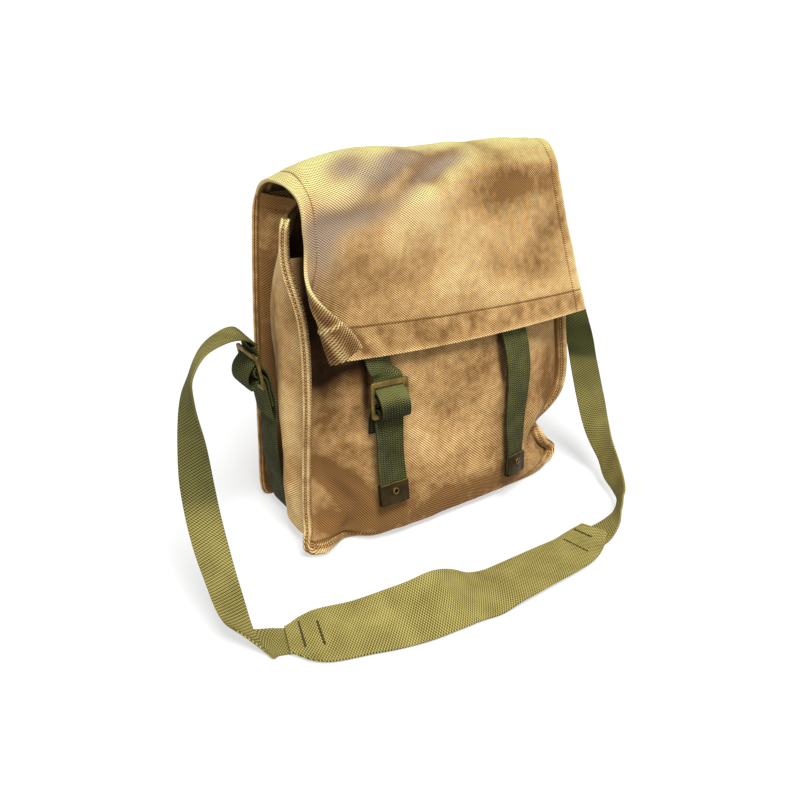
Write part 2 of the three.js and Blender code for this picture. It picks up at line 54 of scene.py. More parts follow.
def makeCamera(view):
    a, e, r = (math.radians(view[key]) for key in ("azimuth", "elevation", "roll"))
    back = Vector((math.sin(a) * math.cos(e), -math.cos(a) * math.cos(e), math.sin(e)))
    right = Vector((math.cos(a), math.sin(a), 0))
    up = back.cross(right)
    level = right * math.cos(r) + up * math.sin(r)
    upright = up * math.cos(r) - right * math.sin(r)
    bpy.ops.object.camera_add()
    camera = bpy.context.object
    camera.name = "photoCamera"
    camera.data.lens = view["lens"]
    camera.data.sensor_width = 36
    turn = Matrix((level, upright, back)).transposed().to_4x4()
    camera.matrix_world = Matrix.Translation(view["place"]) @ turn
    bpy.context.scene.camera = camera


makeCamera(photoView)
print("camera placed")


# Shapes of the bag in millimetres, as in the part's own source but for the flap's rear and the base's notch

def table(columns, rows):
    return {name: np.array(values, float) for name, values in zip(columns.split(), zip(*rows))}


bodyCut = {
    "belly": [4, 5, 8, 14, 22, 24, 20, 12],
    "frontBase": 10.2,
    "backBase": 6.2,
    "frontFold": 5,
}

levels = table("frontZ leftX leftY leftTurn rightX rightY rightTurn backZ backX backY", [
    (261.5, -133, -23, 45, 126, -8, 45, 269.5, 130, 20.5),
    (231, -132.5, -22.5, 45, 126, -15, 45, 240, 130, 23.5),
    (190, -127.5, -37, 45, 126, -31, 45, 190, 129.5, 26.5),
    (135, -127, -43, 45, 126.5, -44, 45, 135, 129, 27.5),
    (75, -129.2, -45.4, 45, 129, -49.5, 65, 80, 129, 27),
    (41, -132, -50, 45, 103, -53, 120, 50, 129, 26),
    (22.5, -134.5, -56, 45, 109.5, -55.5, 60, 23, 129, 26),
    (12, -138, -62, 45, 121.5, -56, 45, 10, 128, 25.5),
])
fullness = table("leftSwell leftTuck rightSwell rightTuck crest dip", [
    (0, 20, 0, 5, 0.28, 0.5),
    (0, 16, 0, 8, 0.28, 0.6),
    (7, 11, 0, 10, 0.4, 0.86),
    (9, 11, 0, 12, 0.36, 0.82),
    (10, 12, -2, 14, 0.28, 0.7),
    (9, 14, -3, 14, 0.28, 0.7),
    (5, 17, 0, 15, 0.28, 0.7),
    (2, 18, 0, 15, 0.28, 0.7),
])

base = table("x frontY backX backY sag turn tuck outX outZ", [
    (-129, -65, -126, 25, 0, 45, 9, -1, 0),
    (-104, -59.5, -104, 26, 4, 86, 0, 0, -1),
    (-82, -73, -82, 26.5, 4, 110, 0, 0, -1),
    (-50, -75, -50, 27, 4, 114, 0, 0, -1),
    (0, -76, 0, 27, 4, 114, 0, 0, -1),
    (60, -76, 60, 27, 4, 114, 0, 0, -1),
    (102, -68, 105, 26, 4, 80, 0, 0, -1),
    (119, -58, 126, 25, 0, 45, 8, 1, 0),
])

frontFolds = table("x z long wide turn depth", [
    (-110, 60, 34, 9, -42, 6),
    (-121, 28, 15, 12, -60, 4),
    (-104, 12, 14, 8, 80, 6),
    (106, 38, 26, 9, 20, 7),
    (-30, 96, 40, 16, -25, 2.5),
    (30, 60, 34, 15, 20, 2.5),
])

flapRows = table("half leftY leftZ midY midZ rightY rightZ", [
    (131.5, 27.5, 248, 29, 248, 27.5, 248),
    (132.5, 23.5, 262.5, 24.5, 265, 23.5, 263),
    (133.5, 18, 272, 17.5, 280, 18, 276),
    (134, 10, 278.5, 9.5, 288, 13, 282.5),
    (134, -3, 286, -3, 295, 4, 286),
    (134, -21, 288.5, -17, 294, -7, 283),
    (134, -33, 283.5, -29.5, 285, -16, 272),
    (134, -42, 275, -37, 270, -24, 256),
    (134, -48, 259, -42, 252, -32, 238),
    (134, -51, 240, -46, 232, -40, 220),
    (134, -53, 222, -50, 211, -49, 201),
    (134, -56, 203, -55, 189, -58, 182),
    (134, -60, 184, -59, 169, -66, 168),
    (134, -63.5, 165, -64, 152.5, -72, 156),
])

threaded = table("out up", [
    (-2.8, -18), (-2.8, -13), (-2.5, -9.8), (-0.4, -7.6), (2.2, -7.6), (3.8, -9.6), (5.4, -12), (8, -12.6),
    (10, -10), (10.4, -4.6), (8.6, 1), (5.4, 4.8), (1.4, 7.5), (-2, 9.8), (-2.8, 13), (-2.8, 18),
])
looped = table("out up", [
    (-5.3, -34), (-5.3, -20), (-5.3, -9.5), (-3.2, -5.4), (0.3, -4.6), (3, -2.4), (3, 2.4),
    (0.3, 4.6), (-3.4, 2.6), (-6.6, -2.8), (-7.8, -9.5), (-7.8, -22), (-7.8, -36),
])

leftBelow = table("x z stand turn", [
    (-71, 36.5, 6.6, 12), (-71, 60, 7, 12), (-71, 73, 8.2, 12), (-71, 86, 9.8, 12),
])
leftAbove = table("x z stand turn", [
    (-74, 144, 8, 22), (-76.5, 158, 6.8, 15), (-77, 174, 6.4, 14), (-77, 190, 6, 12),
])
tabOuter = table("x z stand turn", [(-73, 95, 4.7, 0), (-72, 104, 4.8, 0)])
tabInner = table("x z stand turn", [(-72, 104, 2.4, 0), (-73, 93, 2.3, 0)])
rightHang = table("x z stand turn", [
    (52, 25.5, 6.8, 11), (54.6, 49, 6.6, 11), (57.5, 68, 5.8, 10), (61.5, 90, 5, 2),
    (64.5, 112, 5.2, -4), (63.2, 132, 6, -6), (59.5, 150, 6.6, -6), (56.5, 168, 5.8, -4),
    (55.5, 188, 4.8, -2),
])
cradleRows = table("x z", [
    (139, 85), (137.5, 60), (133.5, 36), (130.5, 18), (125.5, 6), (114, 1.2), (98, 1), (60, 1), (20, 1),
])

leftShoulder = table("x y z ax ay az", [
    (-157, -1, 168, 0.05, 1, 0),
    (-164.5, -3, 173, 0.15, 0.98, 0),
    (-177, -7, 175, 0.22, 0.97, -0.05),
    (-198, -15, 171, 0.3, 0.93, -0.18),
    (-213, -26, 160, 0.32, 0.9, -0.25),
    (-221, -37, 147, 0.05, 0.99, -0.1),
    (-226.5, -52, 124, -0.42, 0.9, 0),
    (-233, -72, 97, -0.74, 0.67, 0),
    (-236, -92, 69, -0.8, 0.6, 0.03),
    (-236, -111, 42, -0.76, 0.62, 0.18),
    (-234, -128.5, 18, -0.72, 0.5, 0.45),
    (-229, -138, 10.5, -0.5, 0.68, 0.5),
    (-220.5, -140, 5.6, 0, 0.94, 0.3),
    (-211, -139.5, 2.2, 0.36, 0.92, 0.06),
    (-199, -144, 1, 0.33, 0.94, 0),
    (-178, -151.5, 1, 0.3, 0.95, 0),
])
rightShoulder = table("x y z ax ay az", [
    (157, -8, 164, 0.1, -1, 0),
    (154, -24, 159, 0.35, -0.93, 0),
    (148, -40, 150, 0.6, -0.8, 0),
    (144.5, -53, 136, 0.65, -0.75, 0),
    (150.5, -57, 116, 0.8, -0.6, 0),
    (153.5, -62, 97, 0.8, -0.6, 0),
    (153.5, -77, 65, 0.85, -0.45, 0.25),
    (151.5, -91, 43, 0.6, -0.35, 0.7),
    (145.5, -109.5, 29, 0.15, -0.35, 0.92),
    (134.5, -130, 20, 0, -0.62, 0.78),
    (124, -148.5, 15, -0.32, -0.68, 0.65),
    (115, -158, 14, -0.5, -0.58, 0.64),
    (102, -167, 12, -0.45, -0.62, 0.62),
    (87, -172.5, 8, -0.1, -0.86, 0.48),
    (74, -173, 2.5, 0.12, -0.97, 0.15),
    (60, -173.5, 1, 0.2, -0.98, 0),
    (40, -176, 1, 0.2, -0.98, 0),
])
padRows = table("x y z ax ay az width", [
    (-205.5, -143.5, 4.6, 0.35, 0.94, 0.02, 26),
    (-194, -149, 4.6, 0.32, 0.95, 0.05, 42),
    (-182, -153.5, 4.8, 0.29, 0.95, 0.1, 49),
    (-156, -162, 5.6, 0.25, 0.96, 0.14, 49),
    (-137, -169.5, 8.7, 0.21, 0.93, 0.29, 48),
    (-116, -176, 12, 0.16, 0.89, 0.43, 47.5),
    (-95, -180, 14.8, 0.08, 0.84, 0.54, 47),
    (-75, -180, 10.6, 0.08, 0.93, 0.36, 46),
    (-57, -181, 5, 0.05, 0.99, 0.12, 46),
    (-38, -181, 4.2, 0, 1, -0.06, 46),
    (-10, -180.5, 4.2, -0.05, 1, -0.06, 44),
    (20, -180, 4.2, -0.13, 0.99, -0.03, 41),
    (38, -179.2, 4.2, -0.2, 0.98, 0, 38),
    (50, -176.5, 4.4, -0.22, 0.97, 0, 36),
    (62, -173, 5.2, -0.24, 0.97, -0.03, 31),
    (72, -169.8, 7.2, -0.28, 0.94, -0.1, 24),
])


# Curves and surfaces

def unit(vectors):
    return vectors / np.maximum(np.linalg.norm(vectors, axis=-1, keepdims=True), 1e-9)


def travelled(points):  # the distance along a line of points
    return np.concatenate([[0], np.cumsum(np.linalg.norm(np.diff(points, axis=0), axis=1))])


def stacked(rows, names):  # some columns of a table, side by side
    return np.stack([rows[name] for name in names.split()], 1)


def bump(x):
    return np.where(np.abs(x) < 1, np.cos(np.pi * np.clip(x, -1, 1) / 2) ** 2, 0)


def ease(x):
    x = np.clip(x, 0, 1)
    return x * x * (3 - 2 * x)


def column(values, t):
    values = np.asarray(values, float)
    place = np.clip(t, 0, 1) * (len(values) - 1)
    i = np.minimum(place.astype(int), len(values) - 2)
    f = place - i
    a, b = values[np.maximum(i - 1, 0)], values[i]
    c, d = values[i + 1], values[np.minimum(i + 2, len(values) - 1)]
    return b + 0.5 * f * (c - a + f * (2 * a - 5 * b + 4 * c - d + f * (3 * (b - c) + d - a)))


def spline(points, t):  # a centripetal curve through the points, t from 0 to 1
    points = np.asarray(points, float)
    last = len(points) - 1
    place = np.clip(t, 0, 1) * last
    i = np.minimum(place.astype(int), last - 1)
    w = (place - i)[:, None]
    longer = np.vstack([2 * points[0] - points[1], points, 2 * points[-1] - points[-2]])
    p0, p1, p2, p3 = (longer[i + k] for k in range(4))
    d0, d1, d2 = (((b - a) ** 2).sum(1)[:, None] ** 0.25 for a, b in ((p0, p1), (p1, p2), (p2, p3)))
    d1 = np.where(d1 < 1e-4, 1, d1)
    d0, d2 = np.where(d0 < 1e-4, d1, d0), np.where(d2 < 1e-4, d1, d2)
    t1 = ((p1 - p0) / d0 - (p2 - p0) / (d0 + d1) + (p2 - p1) / d1) * d1
    t2 = ((p2 - p1) / d1 - (p3 - p1) / (d1 + d2) + (p3 - p2) / d2) * d1
    return p1 + w * (t1 + w * (3 * (p2 - p1) - 2 * t1 - t2 + w * (2 * (p1 - p2) + t1 + t2)))


def normalOf(surface, u, v):
    e = 0.002
    along = surface(np.minimum(u + e, 1), v) - surface(np.maximum(u - e, 0), v)
    up = surface(u, np.minimum(v + e, 1)) - surface(u, np.maximum(v - e, 0))
    return unit(np.cross(along, up))


def ringRows():  # round the body: down the left seam, along the base, up the right seam
    def side(name, sign):
        zero = np.zeros(len(levels["frontZ"]))
        return np.stack([
            levels[name + "X"], levels[name + "Y"], levels["frontZ"],
            sign * levels["backX"], levels["backY"], levels["backZ"],
            fullness[name + "Swell"], fullness[name + "Tuck"], zero, levels[name + "Turn"], zero + sign, zero,
            fullness["crest"], fullness["dip"],
        ], 1)
    zero = np.zeros(len(base["x"]))
    under = np.stack([
        base["x"], base["frontY"], zero + bodyCut["frontBase"],
        base["backX"], base["backY"], zero + bodyCut["backBase"],
        zero, base["tuck"], base["sag"], base["turn"], base["outX"], base["outZ"], zero + 0.28, zero + 0.7,
    ], 1)
    return np.vstack([side("left", -1), under, side("right", 1)[::-1]])


ring = ringRows()
ringLast = len(ring) - 1
leftFoot = len(levels["frontZ"])
rightFoot = ringLast - leftFoot
frontSeamPoints = ring[:, :3]
backSeamPoints = ring[:, 3:6]
swellCol, tuckCol, sagCol, turnCol, outXCol, outZCol, crestCol, dipCol = ring[:, 6:].T


def gussetPoint(u, v):
    front, back = spline(frontSeamPoints, v), spline(backSeamPoints, v)
    crest, dip = column(crestCol, v), column(dipCol, v)
    rise = (column(swellCol, v) * bump((u - crest) / crest) - column(tuckCol, v) * bump((u - dip) / (1 - dip))
            + column(sagCol, v) * 4 * u * (1 - u))
    out = unit(np.stack([column(outXCol, v), 0 * v, column(outZCol, v)], 1))
    return front + (back - front) * u[:, None] + out * rise[:, None]


def panelPatch(seamPoints, topRow, w, rise):
    span = leftFoot - topRow
    left = spline(seamPoints, (leftFoot - span * rise) / ringLast)
    right = spline(seamPoints, (rightFoot + span * rise) / ringLast)
    foot = spline(seamPoints, (leftFoot + (rightFoot - leftFoot) * w) / ringLast)
    ends = spline(seamPoints, np.array([leftFoot, rightFoot]) / ringLast)
    chord = ends[0] + (ends[1] - ends[0]) * w[:, None]
    return left + (right - left) * w[:, None] + (foot - chord) * ((1 - rise) ** 2)[:, None]


def ovals(rows, x, z):  # the sum of soft oval patches: place, length, width, turn and height of each
    total = np.zeros_like(x)
    for rowX, rowZ, long, wide, turn, height in zip(*rows.values()):
        c, s = math.cos(math.radians(turn)), math.sin(math.radians(turn))
        dx, dz = x - rowX, z - rowZ
        a, b = (dx * c + dz * s) / long, (dz * c - dx * s) / wide
        total += height * np.exp(-a * a - b * b)
    return total


bellies = [0] + bodyCut["belly"][:0:-1]


def frontPoint(w, rise):
    point = panelPatch(frontSeamPoints, 1, w, rise)
    point[:, 1] -= column(bellies, rise) * (1 - (2 * w - 1) ** 4)
    loose = np.minimum(1, rise * 5) * np.minimum(1, 25 * w * (1 - w))
    point[:, 1] += ovals(frontFolds, point[:, 0], point[:, 2]) * loose
    point[:, 2] -= bodyCut["frontFold"] * np.sin(np.pi * w) ** 2 * bump((rise - 0.14) / 0.12)
    return point


def backPoint(w, rise):
    point = panelPatch(backSeamPoints, 0, w, rise)
    point[:, 1] += 3 * np.sin(np.pi * w) * np.minimum(1, rise * 4) * (1 - 0.6 * rise)
    return point


def frontAt(x, z, stand):  # a place on the front panel, standing off it, with its width direction
    u, s = np.array([0.5]), np.array([0.5])
    for _ in range(60):
        point = frontPoint(u, s)[0]
        u = np.clip(u + (x - point[0]) / 260, 0, 1)
        s = np.clip(s + (z - point[2]) * 0.0026, 0, 1)
    face = normalOf(frontPoint, u, s)[0]
    face = -face if face[1] > 0 else face
    across = unit(np.cross((0, 0, 1), face))
    return frontPoint(u, s)[0] + face * stand, across, face


print("body curves ready,", len(ring), "rows round the seams")


# Shader wiring

def paint(red, green, blue):  # a colour as seen on screen, 0 to 255
    def linear(value):
        value /= 255
        return value / 12.92 if value < 0.04045 else ((value + 0.055) / 1.055) ** 2.4
    return (linear(red), linear(green), linear(blue), 1)


class Wire:
    def __init__(self, tree, socket=None):
        self.tree, self.socket = tree, socket

    def node(self, kind, settings=None, inputs=None, output=0):
        made = self.tree.nodes.new(kind)
        for name, value in (settings or {}).items():
            setattr(made, name, value)
        for name, value in (inputs or {}).items():
            if isinstance(value, Wire):
                self.tree.links.new(value.socket, made.inputs[name])
            else:
                made.inputs[name].default_value = value
        return Wire(self.tree, made.outputs[output])

    def maths(self, operation, first, second=0.0, clamp=False):
        settings = {"operation": operation, "use_clamp": clamp}
        return self.node("ShaderNodeMath", settings, {0: first, 1: second})

    def __add__(self, other):
        return self.maths("ADD", self, other)

    def __sub__(self, other):
        return self.maths("SUBTRACT", self, other)

    def __rsub__(self, other):
        return self.maths("SUBTRACT", other, self)

    def __mul__(self, other):
        return self.maths("MULTIPLY", self, other)

    __radd__ = __add__
    __rmul__ = __mul__

    def sine(self):
        return self.maths("SINE", self)

    def clamp(self):
        return self.maths("ADD", self, 0.0, True)

    def between(self, low, high):  # this value as the share of the second colour
        return self.node("ShaderNodeMix", {"data_type": "RGBA"}, {0: self, 6: low, 7: high}, 2)

    def times(self, colour):  # this colour multiplied by another
        settings = {"data_type": "RGBA", "blend_type": "MULTIPLY"}
        return self.node("ShaderNodeMix", settings, {0: 1.0, 6: self, 7: colour}, 2)

    def cloud(self, place, size, detail=2.0):  # soft noise, size in metres
        return self.node("ShaderNodeTexNoise", {}, {"Vector": place, "Scale": 1 / size, "Detail": detail})

    def field(self, name):  # a value kept on the mesh
        return self.node("ShaderNodeAttribute", {"attribute_name": name}, output="Fac")

    def axis(self, which):  # one axis of this vector
        return self.node("ShaderNodeSeparateXYZ", {}, {0: self}, which)

    def relief(self, strength, depth):  # this value as a height, depth in metres
        return self.node("ShaderNodeBump", {}, {"Strength": strength, "Distance": depth, "Height": self})


def newMaterial(name):
    material = bpy.data.materials.new(name)
    material.use_nodes = True
    material.node_tree.nodes.clear()
    return material, Wire(material.node_tree)


def finishMaterial(wire, sockets):
    shader = wire.node("ShaderNodeBsdfPrincipled", {}, sockets)
    output = wire.tree.nodes.new("ShaderNodeOutputMaterial")
    wire.tree.links.new(shader.socket, output.inputs["Surface"])


def clothPlace(wire):  # across and along the cloth in metres, from its own map
    own = wire.node("ShaderNodeTexCoord", output="UV")
    return own.axis(0), own.axis(1)


canvasLook = {
    "weft": 2.5 * mm, "warp": 1.9 * mm, "lean": 0.42, "cross": 0.2, "gap": 0.17, "thread": 1.64,
    "blotch": 0.7, "fleck": 0.7, "fold": 0.6, "sunnedAndLitFrom": 0.15, "sunnedAndLitTilt": 0.35,
    "dark": paint(120, 86, 48), "middle": paint(176, 140, 92), "pale": paint(206, 180, 128),
    # the grey and the near-black below are painted shade
    # the pale yellow below is partly sun-fading, partly painted light on upward faces
    "bleachedAndLit": paint(186, 182, 120), "shaded": paint(140, 122, 104), "gloom": (0.12, 0.1, 0.08, 1),
}


def canvasMaterial(name, look):  # plain weave whose threads lean one way, mottled, with painted shade and light from its fields, and upward faces partly sun-faded, partly painted lighter
    material, wire = newMaterial(name)
    place = wire.node("ShaderNodeTexCoord", output="Object")
    across, along = clothPlace(wire)
    fold, paintedShade = wire.field("fold"), wire.field("paintedShade")
    drift = wire.cloud(place, 0.04) * 1.2
    weft = across * (tau / look["weft"]) + drift
    warp = along * (tau / look["warp"]) - drift * 0.6
    weave = (weft + warp).sine() * look["lean"] + (weft - warp).sine() * look["cross"] + 0.5
    blotch = wire.cloud(place, 0.035, 3.0)
    fleck = wire.cloud(place, 0.006, 3.0)
    # the fold field carries painted light and shade of rumples, folds, creases and grooves
    tone = (blotch - 0.5) * look["blotch"] + (fleck - 0.5) * look["fleck"] + fold * look["fold"] + 0.5
    colour = (tone * 2).clamp().between(look["dark"], look["middle"])
    colour = (tone * 2 - 1).clamp().between(colour, look["pale"])
    # upward faces high on the bag go pale yellow: partly sun-fading, partly painted light from above
    upward = wire.node("ShaderNodeNewGeometry", output="Normal").axis(2)
    high = ((place.axis(2) - look["sunnedAndLitFrom"]) * 20).clamp()
    sunnedAndLit = (upward - look["sunnedAndLitTilt"]) * (blotch * 2.4 + fold) * high
    colour = sunnedAndLit.clamp().between(colour, look["bleachedAndLit"])
    # painted shade: grey where the shade field is positive, near-black where it is negative
    colour = (paintedShade * (fleck * 0.8 + 0.5)).clamp().between(colour, look["shaded"])
    colour = colour.times((0 - paintedShade).clamp().between((1, 1, 1, 1), look["gloom"]))
    low, high = look["gap"], look["thread"]
    colour = colour.times(weave.between((low, low * 0.96, low * 0.9, 1), (high, high, high * 0.98, 1)))
    finishMaterial(wire, {
        "Base Color": colour, "Roughness": 0.92, "Specular IOR Level": 0.12,
        "Normal": weave.relief(0.6, 0.5 * mm),
    })
    return material


greenLook = {"rib": 1.7 * mm, "wale": 2.4 * mm, "deep": paint(22, 23, 9), "thread": paint(106, 106, 58)}
oliveLook = {
    "wale": 3.1 * mm, "pick": 2.1 * mm,
    "deep": paint(70, 63, 22), "thread": paint(168, 155, 90),
    # the last two colours are the olive painted in shade
    "shade": paint(22, 26, 11), "shadedThread": paint(84, 84, 44),
}


def greenMaterial(name, look):  # zigzag webbing
    material, wire = newMaterial(name)
    place = wire.node("ShaderNodeTexCoord", output="Object")
    across, along = clothPlace(wire)
    slant = wire.maths("PINGPONG", across, look["wale"]) * (0.9 * tau / look["wale"])
    ridge = (along * (tau / look["rib"]) + slant).sine() * 0.5 + 0.5
    wale = (across * (tau / look["wale"])).sine() * 0.2 + 0.8
    weave = ridge * wale
    # random mottling plus the strap's steps, which paint shade and light along it
    mottleAndShade = wire.cloud(place, 0.012, 3.0) * 0.8 + wire.field("fadedAndShaded") * 0.24
    shade = (weave * 1.3 + mottleAndShade - 0.76).clamp()
    colour = shade.between(look["deep"], look["thread"])
    finishMaterial(wire, {
        "Base Color": colour, "Roughness": 0.9, "Specular IOR Level": 0.15,
        "Normal": weave.relief(0.8, 0.5 * mm),
    })
    return material


def oliveMaterial(name, look):  # coarse basket webbing, painted darker green as shade near the buckles and paler away from them
    material, wire = newMaterial(name)
    place = wire.node("ShaderNodeTexCoord", output="Object")
    across, along = clothPlace(wire)
    drift = wire.cloud(place, 0.02) * 1.5
    wale = across * (tau / look["wale"]) + drift * 0.4
    pick = along * (tau / look["pick"]) + drift
    weave = (wale + pick).sine() * 0.26 + (wale - pick).sine() * 0.24 + 0.5
    shade = (weave * 1.4 + wire.cloud(place, 0.02, 3.0) * 0.7 - 0.57).clamp()
    colour = shade.between(look["deep"], look["thread"])
    colour = wire.field("fadedAndShaded").between(shade.between(look["shade"], look["shadedThread"]), colour)
    finishMaterial(wire, {
        "Base Color": colour, "Roughness": 0.93, "Specular IOR Level": 0.12,
        "Normal": weave.relief(0.9, 0.7 * mm),
    })
    return material


def brassMaterial(name, bright, dull, rough):
    material, wire = newMaterial(name)
    place = wire.node("ShaderNodeTexCoord", output="Object")
    patina = (wire.cloud(place, 0.008, 4.0) * 2.2 - 0.6).clamp()
    scuff = wire.cloud(place, 0.0012)
    finishMaterial(wire, {
        "Base Color": patina.between(bright, dull), "Metallic": 0.85, "Roughness": patina * 0.25 + rough,
        "Normal": scuff.relief(0.2, 0.1 * mm),
    })
    return material


def threadMaterial(name, colour):
    material, wire = newMaterial(name)
    place = wire.node("ShaderNodeTexCoord", output="Object")
    twist = wire.cloud(place, 0.002) * 0.6
    darker = tuple(part * 0.55 for part in colour[:3]) + (1,)
    finishMaterial(wire, {
        "Base Color": twist.between(darker, colour), "Roughness": 0.85, "Specular IOR Level": 0.2,
    })
    return material


canvas = canvasMaterial("tanCanvas", canvasLook)
greenWebbing = greenMaterial("greenWebbing", greenLook)
oliveWebbing = oliveMaterial("oliveWebbing", oliveLook)
brass = brassMaterial("agedBrass", paint(138, 118, 64), paint(88, 72, 34), 0.4)
darkBrass = brassMaterial("darkBrass", paint(72, 56, 26), paint(42, 31, 13), 0.46)
# painted shade: a near-black disc fills each eyelet's hole
holeShade = brassMaterial("eyeletHoleShade", paint(24, 18, 10), paint(14, 11, 7), 0.7)
brownThread = threadMaterial("brownThread", paint(104, 74, 42))
paleThread = threadMaterial("paleThread", paint(206, 182, 130))
darkThread = threadMaterial("darkThread", paint(70, 62, 28))
print("materials wired")


# Cloth and webbing meshes

def readPlaces(piece):
    flat = np.empty(len(piece.data.vertices) * 3)
    piece.data.vertices.foreach_get("co", flat)
    return flat.reshape(-1, 3)


def layGrid(name, columns, rows):
    bpy.ops.object.select_all(action="DESELECT")
    bpy.ops.mesh.primitive_grid_add(x_subdivisions=columns, y_subdivisions=rows, size=1)
    piece = bpy.context.object
    piece.name = name
    flat = readPlaces(piece)
    return piece, flat[:, 0] + 0.5, flat[:, 1] + 0.5


def setPlaces(piece, points):
    piece.data.vertices.foreach_set("co", (np.asarray(points) * mm).ravel())
    piece.data.update()


def setMap(piece, across, along):  # the cloth's own map, in metres
    loops = np.empty(len(piece.data.loops), int)
    piece.data.loops.foreach_get("vertex_index", loops)
    layer = piece.data.uv_layers.active or piece.data.uv_layers.new(name="UVMap")
    layer.data.foreach_set("uv", (np.stack([across, along], 1)[loops] * mm).ravel())


def setField(piece, name, values):
    field = piece.data.attributes.new(name, "FLOAT", "POINT")
    field.data.foreach_set("value", np.asarray(values, np.float32))


def crumple(points, size, seed):  # soft unevenness from -1 to 1, size in millimetres
    shift = Vector((seed * 17.3, seed * 5.1, seed * 9.7))
    return np.array([noise.noise(Vector(p) / size + shift) for p in points])


def lengthAlong(surface, v):  # how far each v lies down the middle of a sheet, and its whole length
    t = np.linspace(0, 1, 600)
    steps = travelled(surface(0 * t + 0.5, t))
    return np.interp(v, t, steps), steps[-1]


def pickOnly(piece):
    bpy.ops.object.select_all(action="DESELECT")
    piece.select_set(True)
    bpy.context.view_layer.objects.active = piece


def useModifier(piece, kind, settings):
    pickOnly(piece)
    made = piece.modifiers.new(kind.lower(), kind)
    for name, value in settings.items():
        setattr(made, name, value)
    bpy.ops.object.modifier_apply(modifier=made.name)


def softenEdges(piece, width, segments, angle):  # width in millimetres, on edges sharper than the angle
    useModifier(piece, "BEVEL", {
        "width": width * mm, "segments": segments, "limit_method": "ANGLE", "angle_limit": angle,
    })


def smooth(piece, angle=45):
    pickOnly(piece)
    bpy.ops.object.shade_smooth_by_angle(angle=math.radians(angle))


def dress(piece, material, node):
    piece.data.materials.clear()
    piece.data.materials.append(material)
    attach(piece, "root")
    if node:
        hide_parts(node)


def clothPiece(name, surface, columns, rows, cloth):
    piece, u, v = layGrid(name, columns, rows)
    u = np.interp(u, *cloth.get("warpU", ((0, 1), (0, 1))))
    v = np.interp(v, *cloth.get("warpV", ((0, 1), (0, 1))))
    points = surface(u, v)
    face = normalOf(surface, u, v) * cloth["facing"]
    rumple = cloth["rumple"]
    fold = sum(height * crumple(points, size, seed) for size, height, seed in rumple)
    lift, extra = cloth["detail"](u, v, points) if "detail" in cloth else (0 * u, 0 * u)
    hold = cloth["hold"](u, v)
    setPlaces(piece, points + face * (fold * hold + lift)[:, None])
    along, length = lengthAlong(surface, v)
    setMap(piece, (u - 0.5) * cloth["width"], along * cloth.get("grain", 1))
    wall = {"thickness": cloth.get("hemThick", cloth["thick"]) * mm, "offset": 0}
    if "hem" in cloth:
        wall["vertex_group"] = "hem"
        group = piece.vertex_groups.new(name="hem")
        weights = np.where(cloth["hem"](u, v), 1, cloth["thick"] / cloth["hemThick"])
        for index, weight in enumerate(weights):
            group.add([index], float(weight), "REPLACE")
    useModifier(piece, "SOLIDIFY", wall)
    # painted light and shade: the cloth paler on the rises of its rumples and darker in their dips, added to
    # each piece's own tones
    tone = np.clip(fold / sum(height for _, height, _ in rumple) + extra, -1, 1)
    inside = cloth["inside"](u, v) if "inside" in cloth else tone
    paintedShade = cloth["paintedShade"](u, v) if "paintedShade" in cloth else 0 * u
    places = readPlaces(piece)
    outerFirst = ((places[:len(u)] - places[len(u):]) * face).sum() > 0
    setField(piece, "fold", np.concatenate([tone, inside] if outerFirst else [inside, tone]))
    # the reverse face gets extra painted shade
    shaded = paintedShade + cloth.get("reverse", 0)
    setField(piece, "paintedShade", np.concatenate([paintedShade, shaded] if outerFirst else [shaded, paintedShade]))
    softenEdges(piece, 0.45 * cloth["thick"], 3, 1.0)
    smooth(piece)
    return piece, length


def sweepPiece(name, centre, sideways, outward, profile, along, fields, flat):  # an outline along a line
    rows, count = len(centre) - 1, len(profile[0])
    piece, u, v = layGrid(name, count, rows)
    j = np.rint(v * rows).astype(int)
    k = np.rint(u * count).astype(int)
    i = k % count
    closed = np.concatenate([profile, profile[:, :1]], 1)
    girth = np.cumsum(np.linalg.norm(np.diff(closed, axis=1), axis=2), axis=1)
    girth = np.concatenate([0 * girth[:, :1], girth], 1)
    a, b = profile[j, i, 0], profile[j, i, 1]
    setPlaces(piece, centre[j] + sideways[j] * a[:, None] + outward[j] * b[:, None])
    setMap(piece, a if flat else girth[j, k], along[j])
    for field, values in fields.items():
        setField(piece, field, values[j, i])
    bpy.ops.object.mode_set(mode="EDIT")
    bpy.ops.mesh.select_all(action="SELECT")
    bpy.ops.mesh.remove_doubles(threshold=0.01 * mm)
    bpy.ops.mesh.fill_holes(sides=0)
    bpy.ops.mesh.select_all(action="SELECT")
    bpy.ops.mesh.normals_make_consistent(inside=False)
    bpy.ops.object.mode_set(mode="OBJECT")
    smooth(piece, 50)
    return piece


def strapOutline(width, thickness):  # flat webbing with rounded selvedges
    top = np.linspace(-0.375, 0.375, 7) * (width - thickness * 0.7)
    edge = [(0.5 * width - 0.12 * thickness, 0.38 * thickness), (0.5 * width, 0),
            (0.5 * width - 0.12 * thickness, -0.38 * thickness)]
    upper = [(x, 0.5 * thickness) for x in top]
    lower = [(x, -0.5 * thickness) for x in top[::-1]]
    other = [(-x, -y) for x, y in edge]
    return np.array(upper + edge + lower + other)


